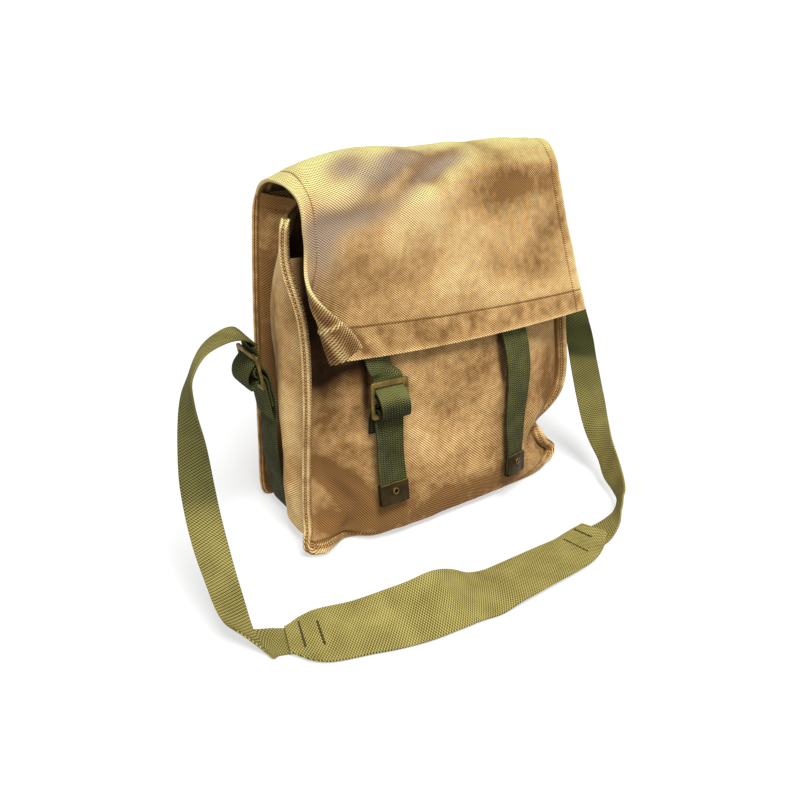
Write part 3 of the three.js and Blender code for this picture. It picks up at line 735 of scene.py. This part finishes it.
def strapPiece(name, route, strap, material, node):
    t = np.linspace(0, 1, strap["rows"] + 1)
    centre = spline(route["at"], t)
    side = unit(spline(route["across"], t))
    steps = travelled(centre)
    width = column(route["width"], t) if "width" in route else 0 * t + strap["width"]
    outline = np.stack([strapOutline(w, strap["thick"]) for w in width])
    travel = unit(np.gradient(centre, axis=0))
    face = unit(np.cross(travel, side))
    centre[:, 2] = np.maximum(centre[:, 2], strap["thick"] / 2)
    # steps along a strap that make it darker or paler: mostly painted shade and light, as given for each
    # strap
    fadedAndShaded = sum(share * ease((steps - start) / length) for start, length, share in strap["fadeAndShade"])
    fadedAndShaded = np.repeat(fadedAndShaded[:, None], outline.shape[1], 1)
    piece = sweepPiece(name, centre, side, face, outline, steps, {"fadedAndShaded": fadedAndShaded}, True)
    flat = readPlaces(piece)
    ripple = crumple(flat / mm, 22, 3) * strap.get("ripple", 0.3)
    flat[:, 2] = np.maximum(flat[:, 2] + ripple * mm * (flat[:, 2] > 4 * mm), 0.02 * mm)
    piece.data.vertices.foreach_set("co", flat.ravel())
    piece.data.update()
    dress(piece, material, node)
    return piece


stitchShape = {"sides": 6, "rings": 4}


def stitchRow(name, points, faces, stitch, material):  # one thread bump, copied along a line on the cloth
    bpy.ops.object.select_all(action="DESELECT")
    bpy.ops.mesh.primitive_uv_sphere_add(
        segments=stitchShape["sides"], ring_count=stitchShape["rings"], radius=0.5)
    piece = bpy.context.object
    piece.name = name
    one = np.array([v.co for v in piece.data.vertices])
    facets = [tuple(polygon.vertices) for polygon in piece.data.polygons]
    steps = travelled(points)
    starts = np.arange(stitch["pitch"] / 2, steps[-1], stitch["pitch"])

    def at(values, s):
        return np.stack([np.interp(s, steps, values[:, k]) for k in range(3)], 1)

    middle, face = at(points, starts), unit(at(faces, starts))
    travel = unit(at(points, starts + 0.4) - at(points, starts - 0.4))
    side = unit(np.cross(face, travel))
    verts, polygons = [], []
    for k in range(len(starts)):
        shape = (travel[k] * one[:, :1] * stitch["length"] + side[k] * one[:, 1:2] * stitch["thick"]
                 + face[k] * one[:, 2:] * stitch["thick"] * 0.8)
        polygons += [tuple(i + k * len(one) for i in facet) for facet in facets]
        verts.append(middle[k] + face[k] * stitch["stand"] + shape)
    piece.data.clear_geometry()
    piece.data.from_pydata((np.vstack(verts) * mm).tolist(), [], polygons)
    smooth(piece, 80)
    dress(piece, material, None)
    return piece


def clothLine(surface, cloth, u, v):  # a line on the outer face of a cloth
    points, face = surface(u, v), normalOf(surface, u, v) * cloth["facing"]
    fold = sum(height * crumple(points, size, seed) for size, height, seed in cloth["rumple"])
    lift, _ = cloth["detail"](u, v, points)
    stand = fold * cloth["hold"](u, v) + lift + cloth.get("hemThick", cloth["thick"]) / 2
    return points + face * stand[:, None], face


cutShare = 0.97  # flat cut of each sheet, as a share of its own modelled surface; reckoned below for each sheet but not kept


def sheetArea(surface):
    s = np.linspace(0, 1, 81)
    u, v = (g.ravel() for g in np.meshgrid(s, s))
    p = surface(u, v).reshape(81, 81, 3) * mm
    a, b = np.diff(p, axis=1)[:-1], np.diff(p, axis=0)[:, :-1]
    return float(np.linalg.norm(np.cross(a, b), axis=2).sum())


# Front panel, boxed sides and back

frontCut = {
    "width": 262, "thick": 1.6, "hemThick": 2.6, "facing": 1,
    "rumple": [(46, 1.3, 1), (20, 0.6, 2), (9, 0.25, 3)],
    "hold": lambda u, v: np.minimum(1, 14 * u * (1 - u)) * np.minimum(1, 8 * v),
    "hem": lambda u, v: v > 0.94,
    # the crease share paints shade in the fold dents; dull paints the whole panel darker as shade
    "creaseShade": 0.14, "dull": 0.25,
}
# painted shade in the creases, under the flap's left corner, along the base and at the right side; painted
# light on a ridge, at the seam's pinch and across the middle
frontShadeAndLight = table("x z long wide turn depth", [
    (-118, 128, 42, 16, 90, -0.8),
    (-98, 142, 30, 12, 0, -0.5),
    (-120, 20, 24, 14, 0, -0.6),
    (-110, 53, 28, 8, -51, -1.8),
    (-92, 30, 20, 7, -30, -0.8),
    (-96, 90, 24, 7, -8, 0.7),
    (-10, 18, 100, 13, 0, -0.8),
    (110, 84, 50, 12, 90, -0.6),
    (-10, 78, 50, 24, 0, 0.35),
    (-122, 82, 10, 6, 30, 0.6),
])
frontGloom = table("x z long wide turn depth", [
    (-119, 194, 50, 9, 90, 1.8),
    (-113, 160, 22, 10, 60, 1.6),
    (-97, 148, 26, 6, 8, 1),
    (-106, 48, 24, 6, -51, 0.5),
    (49.5, 128, 32, 3.6, 94, 1.6),
    (-84, 126, 26, 3.6, 88, 1.2),
])


def frontDetail(u, v, points):
    x, z = points[:, 0], points[:, 2]
    # painted shade and light from the table, painted shade in the fold dents, and the whole panel painted
    # darker as shade
    return 0 * u, ovals(frontShadeAndLight, x, z) - frontCut["creaseShade"] * ovals(frontFolds, x, z) - frontCut["dull"]


def frontShade(u, v):  # painted shade behind the flap's free edge, beside the closing straps and in the low left crease
    points = frontPoint(u, v)
    return -np.clip(ovals(frontGloom, points[:, 0], points[:, 2]), 0, 1)


frontCut.update({"detail": frontDetail, "paintedShade": frontShade})
gussetCut = {
    "width": 92, "thick": 1.6, "facing": 1,
    "rumple": [(40, 1.4, 4), (16, 0.6, 5)],
    "hold": lambda u, v: np.minimum(1, 8 * u * (1 - u)),
    "top": 0.016, "grain": -1,
}
backCut = {
    "width": 254, "thick": 1.6, "facing": -1,
    "rumple": [(60, 1.6, 6), (22, 0.6, 7)],
    "hold": lambda u, v: np.minimum(1, 14 * u * (1 - u)) * np.minimum(1, 10 * v),
}


def gussetDetail(u, v, points):  # painted light on its ridge, painted shade behind it and in the hem's groove at the top of each side, and darker along the top edge, which keeps the painted light of upward faces off it
    toEnd = np.minimum(v, 1 - v)
    groove = np.exp(-((toEnd - gussetCut["top"]) / 0.003) ** 2)
    tone = 0.18 - 1.1 * ease((u - column(dipCol, v) + 0.14) / 0.14)
    return -0.5 * groove, tone - 0.8 * groove - 1.5 * np.exp(-toEnd / 0.004)


def gussetShade(u, v):  # shade in the valley low on the left side
    return -0.7 * ease((u - column(dipCol, v) + 0.16) / 0.1) * bump((v - 0.27) / 0.13)


gussetCut.update({"detail": gussetDetail, "paintedShade": gussetShade})
frontPanel, frontLength = clothPiece("frontPanel", frontPoint, 150, 140, frontCut)
dress(frontPanel, canvas, "front_panel")
gusset, gussetLength = clothPiece("sidesAndBase", gussetPoint, 44, 330, gussetCut)
dress(gusset, canvas, "gusset")
backPanel, backLength = clothPiece("backPanel", backPoint, 90, 90, backCut)
dress(backPanel, canvas, "back_panel")
hemStitch = {"pitch": 3.3, "length": 2.4, "thick": 0.9, "stand": 0.1}
across = np.linspace(0.03, 0.97, 120)
for name, end in (("leftSideStitches", gussetCut["top"]), ("rightSideStitches", 1 - gussetCut["top"])):
    stitchRow(name, *clothLine(gussetPoint, gussetCut, across, 0 * across + end), hemStitch, brownThread)
cutShare * sheetArea(frontPoint)
cutShare * sheetArea(gussetPoint)
cutShare * sheetArea(backPoint)
print("panels sewn:", round(frontLength), round(gussetLength), round(backLength), "mm long")


# Welted seams: two ridges with stitches in the groove between them

weltCut = {
    "rows": 420, "floor": 0.3, "crown": 0.88, "groove": 0.53,
    "front": {"start": 0.4, "end": 10.9, "half": 3.2, "taper": 9},
    "back": {"start": 0.2, "end": 5.4, "half": 2.2, "taper": 18},
}
# the tone column paints shade in the grooves and light on the crowns of the ridges
weltOutline = table("across out tone", [
    (-0.28, 0, -1), (-0.8, 0.2, -0.5), (-1, 0.34, 0.2), (-1, 0.46, -0.6), (-0.88, 0.53, -1), (-1, 0.6, -0.6),
    (-1, 0.74, 0.3), (-0.85, 0.93, 0.7), (-0.6, 1, 0.8), (-0.32, 0.97, 0.3), (-0.12, 0.86, -1),
    (0.12, 0.86, -1), (0.32, 0.97, 0.3), (0.6, 1, 0.8), (0.85, 0.93, 0.7), (1, 0.74, 0.3),
    (1, 0.6, -0.6), (0.88, 0.53, -1), (1, 0.46, -0.6), (1, 0.34, 0.2), (0.8, 0.2, -0.5), (0.28, 0, -1),
])


def outwardOf(seamPoints, v):
    step = spline(seamPoints, np.minimum(v + 0.004, 1)) - spline(seamPoints, np.maximum(v - 0.004, 0))
    return unit(np.stack([step[:, 2], 0 * v, -step[:, 0]], 1))


def weltPiece(name, seamPoints, facing, welt, turns, node):
    v = np.linspace(0, 1, weltCut["rows"] + 1)
    centre = spline(seamPoints, v)
    turn = np.radians(turns(v))
    out = outwardOf(seamPoints, v) * np.sin(turn)[:, None]
    out[:, 1] += facing * np.cos(turn)
    travel = unit(np.gradient(centre, axis=0))
    side = unit(np.cross(travel, out))
    lowest = weltCut["floor"] + np.abs(np.cos(turn)) * welt["half"]
    room = np.where(out[:, 2] < -0.05, (lowest - centre[:, 2]) / np.minimum(out[:, 2], -0.05), 99)
    end = np.minimum(welt["end"], room)
    steps = travelled(centre)
    toEnd = np.minimum(1, np.minimum(steps, steps[-1] - steps) / welt["taper"])
    end = welt["start"] + (end - welt["start"]) * (0.25 + 0.75 * np.sqrt(1 - (1 - toEnd) ** 2))
    tall = (end - welt["start"])[:, None]
    wander = welt["half"] * (1 + 0.08 * crumple(centre, 9, 8))[:, None]
    outline = np.stack([weltOutline["across"] * wander, welt["start"] + weltOutline["out"] * tall], 2)
    tone = weltOutline["tone"] + 0.5 * crumple(centre, 6, 9)[:, None] - 0.35
    piece = sweepPiece(name, centre, side, out, outline, steps, {"fold": tone, "paintedShade": 0 * tone}, False)
    dress(piece, canvas, node)
    crown = centre + out * (welt["start"] + tall * weltCut["crown"])
    flank = centre + out * (welt["start"] + tall * weltCut["groove"])
    return crown, flank, out, side


crown, flank, out, side = weltPiece(
    "frontSeam", frontSeamPoints, -1, weltCut["front"], lambda v: column(turnCol, v), "front_seam")
weltStitch = {"pitch": 3, "length": 2.1, "thick": 0.9, "stand": 0.15}
stitchRow("frontSeamStitches", crown, out, weltStitch, paleThread)
reach = 0.9 * weltCut["front"]["half"]
stitchRow("frontSeamOuterStitches", flank + side * reach, side, weltStitch, paleThread)
stitchRow("frontSeamInnerStitches", flank - side * reach, -side, weltStitch, paleThread)
crown, flank, out, side = weltPiece(
    "backSeam", backSeamPoints, 1, weltCut["back"], lambda v: 45 + 0 * v, "back_seam")
reach = 0.9 * weltCut["back"]["half"]
stitchRow("backSeamOuterStitches", flank + side * reach, side, weltStitch, brownThread)
stitchRow("backSeamInnerStitches", flank - side * reach, -side, weltStitch, brownThread)
print("welts swept")


# Flap with its hems and the corner that curls over

flapCut = {
    "width": 268, "thick": 1.6, "hemThick": 2.6, "facing": -1, "length": 236,
    "side": 10, "foot": 24,
    "warpU": ((0, 0.12, 0.88, 1), (0, 0.047, 0.953, 1)),
    "warpV": ((0, 0.8, 1), (0, 0.875, 1)),
    "rumple": [(52, 2.2, 11), (24, 1.1, 12), (10, 0.35, 13)],
    "swell": {"u": 0.2, "wide": 0.27, "v": 0.33, "long": 0.22, "lift": 6.5},
    "curl": {"topX": -125.8, "topZ": 212, "footX": -116, "footZ": 163.8, "angle": 175, "radius": 8.7},
    "corner": {"wide": 23.6, "high": 4.7, "u": 0.119, "v": 0.343},
    "droop": {"wide": 0.05, "v": 0.375, "long": 0.17, "drop": 5.8},
    "grain": -1, "reverse": -0.4,
}
flapFolds = table("u v long wide turn height", [
    (0.15, 0.6, 36, 9, 8, -3.5),
    (0.47, 0.47, 48, 10, 27, -3.5),
    (0.2, 0.49, 42, 11, 24, 3.5),
    (0.39, 0.57, 26, 9, 19, 2.5),
    (0.84, 0.475, 50, 8, 3, 2),
    (0.77, 0.58, 34, 20, 12, -2),
    (0.69, 0.7, 30, 16, 30, 1.6),
    (0.37, 0.66, 30, 13, 25, 1.6),
    (0.13, 0.78, 24, 16, 60, -1.6),
    (0.55, 0.6, 26, 10, 35, -1.5),
])
# painted shade: a grey tint in the flap's fold troughs and along its left edge
flapTroughShade = table("u v long wide turn height", [
    (0.05, 0.66, 24, 14, 80, 1),
    (0.16, 0.6, 40, 9, 8, 1),
    (0.45, 0.475, 40, 8, 27, 0.6),
    (0.25, 0.47, 26, 8, 24, 0.8),
    (0.17, 0.43, 18, 12, 20, 0.9),
    (0.36, 0.42, 26, 8, 10, 0.7),
    (0.52, 0.45, 26, 7, 16, 0.7),
    (0.29, 0.485, 24, 6, 25, 0.5),
])
# painted shade in the flap's creases and under the curled corner, and painted light on a few raised places
flapShadeAndLight = table("u v long wide turn height", [
    (0.42, 0.66, 70, 40, 0, 0.25),
    (0.86, 0.68, 34, 60, 0, -0.3),
    (0.47, 0.45, 40, 7, 27, -0.9),
    (0.17, 0.44, 16, 12, 20, -1.3),
    (0.3, 0.46, 22, 8, 30, -1.1),
    (0.37, 0.42, 24, 8, 10, -1),
    (0.12, 0.545, 16, 5, 20, 0.8),
    (0.14, 0.74, 26, 14, 30, -0.5),
    (0.31, 0.77, 26, 10, 30, -0.2),
    (0.5, 0.7, 30, 9, 30, -0.15),
    (0.79, 0.87, 24, 8, 0, 0.4),
    (0.135, 0.94, 15, 4, -44, -1.4),
    (0.42, 0.45, 26, 10, -55, -1.3),
    (0.265, 0.49, 20, 6, 25, -0.7),
    (0.75, 0.55, 40, 13, 0, -0.5),
    (0.63, 0.615, 26, 9, -20, -0.4),
])


def flapOvals(rows, u, v):  # the same patches placed by u and v on the flap
    width, length = flapCut["width"], flapCut["length"]
    return ovals({**rows, "u": rows["u"] * width, "v": -rows["v"] * length}, u * width, -v * length)


def curlCorner(point, curl):  # the lower left corner rolled over towards the front
    lineX, lineZ = curl["footX"] - curl["topX"], curl["footZ"] - curl["topZ"]
    length = math.hypot(lineX, lineZ)
    beyond = ((point[:, 0] - curl["topX"]) * lineZ - (point[:, 2] - curl["topZ"]) * lineX) / length
    beyond = np.where(point[:, 1] > -35, 0, np.maximum(beyond, 0))
    most = math.radians(curl["angle"])
    bent = np.minimum(beyond / curl["radius"], most)
    straight = np.maximum(beyond - curl["radius"] * most, 0)
    reach = curl["radius"] * np.sin(bent) + straight * math.cos(most)
    rise = curl["radius"] * (1 - np.cos(bent)) + straight * math.sin(most)
    point[:, 0] += (reach - beyond) * lineZ / length
    point[:, 2] -= (reach - beyond) * lineX / length
    point[:, 1] -= rise
    return point


def flapPoint(u, v):
    left, mid, right = (
        spline(stacked(flapRows, "half " + name + "Y " + name + "Z"), v) for name in ("left", "mid", "right")
    )
    k = u[:, None]
    blend = left * (1 - k) * (1 - 2 * k) + mid * 4 * k * (1 - k) + right * k * (2 * k - 1)
    point = np.stack([(2 * u - 1) * left[:, 0] - u, blend[:, 1], blend[:, 2]], 1)
    swell, droop, corner = flapCut["swell"], flapCut["droop"], flapCut["corner"]
    raised = bump((u - swell["u"]) / swell["wide"]) * bump((v - swell["v"]) / swell["long"])
    point[:, 2] += swell["lift"] * raised
    atEdge = np.maximum(1 - u / droop["wide"], 0)
    point[:, 2] -= droop["drop"] * atEdge * bump((v - droop["v"]) / droop["long"])
    pull = ease((v - 1) / corner["v"] + 1) * ease(1 - u / corner["u"])
    point[:, 0] -= corner["wide"] * pull
    point[:, 2] += corner["high"] * pull
    return curlCorner(point, flapCut["curl"])


def flapEdges(u, v):
    sideways = np.minimum(u, 1 - u) * flapCut["width"]
    foot = (1 - v) * flapCut["length"]
    return sideways, foot


def flapDetail(u, v, points):
    sideways, foot = flapEdges(u, v)
    grooves = np.exp(-((sideways - flapCut["side"] + 1) / 0.9) ** 2)
    grooves = np.maximum(grooves, np.exp(-((foot - flapCut["foot"] + 1) / 1) ** 2))
    along = np.stack([u * flapCut["width"], 0 * u, v * flapCut["length"]], 1)
    pucker = 1.1 * crumple(along * (1, 1, 0.35), 9, 14) * bump((foot - 13) / 13)
    pucker += 0.7 * crumple(along * (0.4, 1, 1), 7, 15) * bump((sideways - 5) / 6)
    edge = np.exp(-np.minimum(sideways, foot) / 2)
    folds = flapOvals(flapFolds, u, v)
    # painted shade in dents, puckers and stitch grooves, painted light on bulges, paler edges from wear, the
    # patches' painted shade and light, and a darker foot hem
    tone = 0.16 * folds + 0.5 * pucker + 0.9 * edge - 1.2 * grooves + flapOvals(flapShadeAndLight, u, v)
    tone -= 0.3 * (foot < flapCut["foot"])
    return folds + pucker - 0.9 * grooves, tone


def flapInside(u, v):  # the reverse is painted darker as shade, with painted highlights on the turned edge of each hem and along the cloth's edge
    sideways, foot = flapEdges(u, v)
    turned = np.exp(-((foot - flapCut["foot"]) / 1.6) ** 2)
    turned += np.exp(-((sideways - flapCut["side"]) / 1.4) ** 2)
    return -0.8 + 1.3 * turned + 1.8 * np.exp(-sideways / 1.6)


def flapHem(u, v):
    sideways, foot = flapEdges(u, v)
    return (sideways < flapCut["side"]) | (foot < flapCut["foot"])


flapCut.update({
    "detail": flapDetail, "inside": flapInside, "hem": flapHem,
    "hold": lambda u, v: ease(v * 3) * (0.45 + 0.55 * ease(np.minimum(*flapEdges(u, v)) / 26)),
    "paintedShade": lambda u, v: np.clip(flapOvals(flapTroughShade, u, v), 0, 1),
})
flap, flapLength = clothPiece("frontFlap", flapPoint, 180, 150, flapCut)
dress(flap, canvas, "flap")
cutShare * sheetArea(flapPoint)

along = np.linspace(0.16, 1 - 2 / flapCut["length"], 400)
inset = 0 * along + (flapCut["side"] - 1) / flapCut["width"]
stitchRow("flapLeftStitches", *clothLine(flapPoint, flapCut, inset, along), hemStitch, brownThread)
stitchRow("flapRightStitches", *clothLine(flapPoint, flapCut, 1 - inset, along), hemStitch, brownThread)
along = np.linspace(0.004, 0.996, 500)
inset = 0 * along + 1 - (flapCut["foot"] - 1) / flapCut["length"]
stitchRow("flapFootStitches", *clothLine(flapPoint, flapCut, along, inset), hemStitch, brownThread)
print("flap hung, about", round(flapLength), "mm from sewn edge to foot")


# Webbing straps

# by default a strap is darker towards its tip
webbing = {"width": 25.4, "thick": 2, "rows": 260, "fadeAndShade": [(30, 90, 0.7)]}
buckleSize = {
    "frontX": -69.5, "frontZ": 121.5, "stand": 10.5,
    "sideX": 153, "sideZ": 142, "lean": 11.5, "tail": 46,
}


def hanging(rows):
    at, across = [], []
    for x, z, stand, turn in zip(rows["x"], rows["z"], rows["stand"], rows["turn"]):
        point, side, _ = frontAt(x, z, stand)
        c, s = math.cos(math.radians(turn)), math.sin(math.radians(turn))
        at.append(point)
        across.append((side[0] * c - side[1] * s, side[0] * s + side[1] * c, side[2]))
    return np.array(at), np.array(across)


def inFrame(where, rows):
    at = where["centre"] + np.outer(rows["out"], where["face"]) + np.outer(rows["up"], where["up"])
    return at, np.tile(where["across"], (len(at), 1))


def sideFrame(sign):
    tilt = math.radians(buckleSize["lean"])
    up = np.array([sign * math.sin(tilt), 0, math.cos(tilt)])
    face = np.array([sign * math.cos(tilt), 0, -math.sin(tilt)])
    centre = np.array([sign * buckleSize["sideX"], 0, buckleSize["sideZ"]])
    return {"centre": centre, "up": up, "face": face, "across": np.cross(up, face)}


def joined(*parts):
    return {"at": np.vstack([p[0] for p in parts]), "across": np.vstack([p[1] for p in parts])}


def straightEnd(route):
    end, after = route["at"][0], route["at"][1]
    travel = unit(after - end)
    side = unit(route["across"][0] - travel * np.dot(route["across"][0], travel))
    route["at"] = np.vstack([end, (end + after) / 2, route["at"][1:]])
    route["across"] = np.vstack([side, side, side, route["across"][2:]])
    return route


def cut(rows, first, last):
    return {name: values[first:last] for name, values in rows.items()}


def shoulderRoute(where, rows):
    tail = {"out": np.array([-2.8, -2.8]), "up": np.array([-buckleSize["tail"], -32.0])}
    rest = stacked(rows, "x y z"), unit(stacked(rows, "ax ay az"))
    return joined(inFrame(where, tail), inFrame(where, threaded), rest)


centre, across, face = frontAt(buckleSize["frontX"], buckleSize["frontZ"], buckleSize["stand"])
frontFrame = {"centre": centre, "up": np.cross(face, across), "face": face, "across": across}
leftSide, rightSide = sideFrame(-1), sideFrame(1)

leftRoute = straightEnd(joined(hanging(leftBelow), inFrame(frontFrame, threaded), hanging(leftAbove)))
rightRoute = straightEnd(joined(hanging(rightHang)))
tabRoute = joined(hanging(tabOuter), inFrame(frontFrame, cut(looped, 2, -2)), hanging(tabInner))
# painted shade low on the buckle's loop and painted light on its top
loopedStrap = {**webbing, "fadeAndShade": [(64, 10, -1.4), (98, 12, 3.8), (114, 8, -1.6)]}
# the tab painted darker as shade
tab = {**webbing, "rows": 120, "fadeAndShade": [(-1, 1, -2.2)]}
strapPiece("leftClosingStrap", leftRoute, loopedStrap, greenWebbing, "left_closing_strap")
strapPiece("rightClosingStrap", rightRoute, webbing, greenWebbing, "right_closing_strap")
strapPiece("leftBuckleTab", tabRoute, tab, greenWebbing, "left_buckle_tab")


def cradleSide(where, sign):
    at, across = inFrame(where, looped)
    low = np.stack([sign * cradleRows["x"], 0 * cradleRows["x"], cradleRows["z"]], 1)
    return np.vstack([at, low]), np.tile(where["across"], (len(at) + len(low), 1))


leftPart, rightPart = cradleSide(leftSide, -1), cradleSide(rightSide, 1)
cradleRoute = joined(leftPart, (rightPart[0][::-1], -rightPart[1][::-1]))
# the cradle strap painted darker as shade
cradle = {**webbing, "rows": 420, "fadeAndShade": [(-1, 1, -0.7)]}
strapPiece("cradleStrap", cradleRoute, cradle, greenWebbing, "cradle_strap")
# painted shade down the upper shoulder straps, paler towards the pad
leftStrap = {
    **webbing, "rows": 420, "ripple": 0.5,
    "fadeAndShade": [(92, 18, 0.6), (146, 26, -0.42), (238, 36, 0.62)],
}
rightStrap = {**leftStrap, "fadeAndShade": [(186, 8, 0.42), (204, 100, 0.42)]}
strapPiece("leftShoulderStrap", shoulderRoute(leftSide, leftShoulder), leftStrap, oliveWebbing,
           "left_shoulder_strap")
strapPiece("rightShoulderStrap", shoulderRoute(rightSide, rightShoulder), rightStrap, oliveWebbing,
           "right_shoulder_strap")
padRoute = {
    "at": stacked(padRows, "x y z"),
    "across": unit(stacked(padRows, "ax ay az")),
    "width": padRows["width"],
}
pad = {"thick": 2.6, "rows": 260, "ripple": 0.5, "fadeAndShade": [(-1, 1, 1)]}
strapPiece("shoulderPad", padRoute, pad, oliveWebbing, "shoulder_pad")
padLines = table("along low high", [
    (0.056, -9.5, 15), (0.126, -10, 12.5), (0.831, -10, 13), (0.929, -3.5, 12.5),
])
padStitch = {"pitch": 2.1, "length": 2.6, "thick": 2, "stand": 0}


def padLine(along, low, high):
    t = np.full(60, along)
    across = unit(spline(padRoute["across"], t))
    travel = unit(spline(padRoute["at"], t + 0.01) - spline(padRoute["at"], t - 0.01))
    face = unit(np.cross(across, travel))
    face = face * np.sign(face[:, 2:])
    place = spline(padRoute["at"], t) + across * np.linspace(low, high, 60)[:, None]
    return place + face * (pad["thick"] / 2), face


for k, (along, low, high) in enumerate(zip(*padLines.values())):
    stitchRow("padStitches" + str(k + 1), *padLine(along, low, high), padStitch, darkThread)
print("straps laid")


# Brass buckles and strap tips, rounded copies of the solids

def roundedCopy(name, node, width, material):
    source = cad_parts[node]
    piece = bpy.data.objects.new(name, source.data.copy())
    bpy.context.scene.collection.objects.link(piece)
    pickOnly(piece)
    bpy.ops.object.mode_set(mode="EDIT")
    bpy.ops.mesh.select_all(action="SELECT")
    bpy.ops.mesh.remove_doubles(threshold=0.005 * mm)
    bpy.ops.mesh.dissolve_limited(angle_limit=math.radians(2))
    bpy.ops.object.mode_set(mode="OBJECT")
    softenEdges(piece, width, 3, math.radians(40))
    smooth(piece, 40)
    dress(piece, material, node)
    return piece


roundedCopy("leftFrontBuckle", "left_front_buckle", 0.7, brass)
roundedCopy("leftSideBuckle", "left_side_buckle", 0.7, brass)
roundedCopy("rightSideBuckle", "right_side_buckle", 0.7, brass)
roundedCopy("leftStrapTip", "left_strap_tip", 0.25, darkBrass)
roundedCopy("rightStrapTip", "right_strap_tip", 0.25, darkBrass)

tipCut = {
    "face": 2.4, "eyeletUp": 9.9, "eyelet": 2.3, "wire": 0.6, "hole": 1.6,
    "top": 16.5, "bead": 0.4, "soften": 0.12,
}


def onTip(name, route, up, out, turned, material):  # sets the newest object on a tip's outer face
    piece = bpy.context.object
    piece.name = name
    rise = unit(route["at"][1] - route["at"][0])
    across = route["across"][0]
    face = unit(np.cross(across, rise))
    sides = (rise, face, across) if turned else (across, rise, face)
    place = (route["at"][0] + rise * up + face * out) * mm
    turn = Matrix(np.stack(sides, 1).tolist()).to_4x4()
    piece.data.transform(Matrix.Translation(place.tolist()) @ turn)
    softenEdges(piece, tipCut["soften"], 2, 1.0)
    smooth(piece, 50)
    dress(piece, material, None)


def tipDetails(name, route):
    bpy.ops.object.select_all(action="DESELECT")
    bpy.ops.mesh.primitive_torus_add(
        major_segments=14, minor_segments=6,
        major_radius=tipCut["eyelet"] * mm, minor_radius=tipCut["wire"] * mm)
    onTip(name + "Eyelet", route, tipCut["eyeletUp"], tipCut["face"] + 0.8, False, brass)
    # painted shade: a near-black disc in the eyelet's hole
    bpy.ops.mesh.primitive_cylinder_add(vertices=14, radius=tipCut["hole"] * mm, depth=0.4 * mm)
    onTip(name + "EyeletHole", route, tipCut["eyeletUp"], tipCut["face"] + 0.9, False, holeShade)
    # the rolled top edge of each tip, in the paler brass as a painted highlight
    bpy.ops.mesh.primitive_cylinder_add(vertices=10, radius=tipCut["bead"] * mm, depth=26 * mm)
    onTip(name + "Edge", route, tipCut["top"], tipCut["face"] - 0.3, True, brass)


tipDetails("leftTip", leftRoute)
tipDetails("rightTip", rightRoute)
print("brass fitted")


# Floor and studio light

studio = {
    "floor": (0.26, 0.26, 0.26, 1), "glow": 0.58, "sky": 0.6,
    "key": {"energy": 4.6, "angle": 0.4}, "fill": {"energy": 5, "size": 1.2},
}


def addLight(kind, name, place, aim, settings):
    bpy.ops.object.light_add(type=kind, location=place)
    light = bpy.context.object
    light.name = name
    for key, value in settings.items():
        setattr(light.data, key, value)
    light.rotation_euler = (Vector(aim) - Vector(place)).to_track_quat("-Z", "Y").to_euler()


bpy.ops.object.select_all(action="DESELECT")
bpy.ops.mesh.primitive_plane_add(size=40)
floor = bpy.context.object
floor.name = "floor"
floorMaterial, wire = newMaterial("paleFloor")
finishMaterial(wire, {
    "Base Color": studio["floor"], "Roughness": 0.9, "Specular IOR Level": 0.1,
    "Emission Color": (1, 1, 1, 1), "Emission Strength": studio["glow"],
})
floor.data.materials.append(floorMaterial)
addLight("SUN", "keyLight", (-0.3, -0.95, 2.2), (0, 0, 0.1), studio["key"])
addLight("AREA", "fillLight", (-1.6, -0.6, 0.9), (0, 0, 0.15), studio["fill"])
bpy.context.scene.view_settings.view_transform = "Standard"  # colours above are as seen on screen
world = bpy.data.worlds.new("studio")
bpy.context.scene.world = world
world.use_nodes = True
sky = world.node_tree.nodes["Background"].inputs
sky["Color"].default_value = (1, 1, 1, 1)
sky["Strength"].default_value = studio["sky"]
print("stage lit")
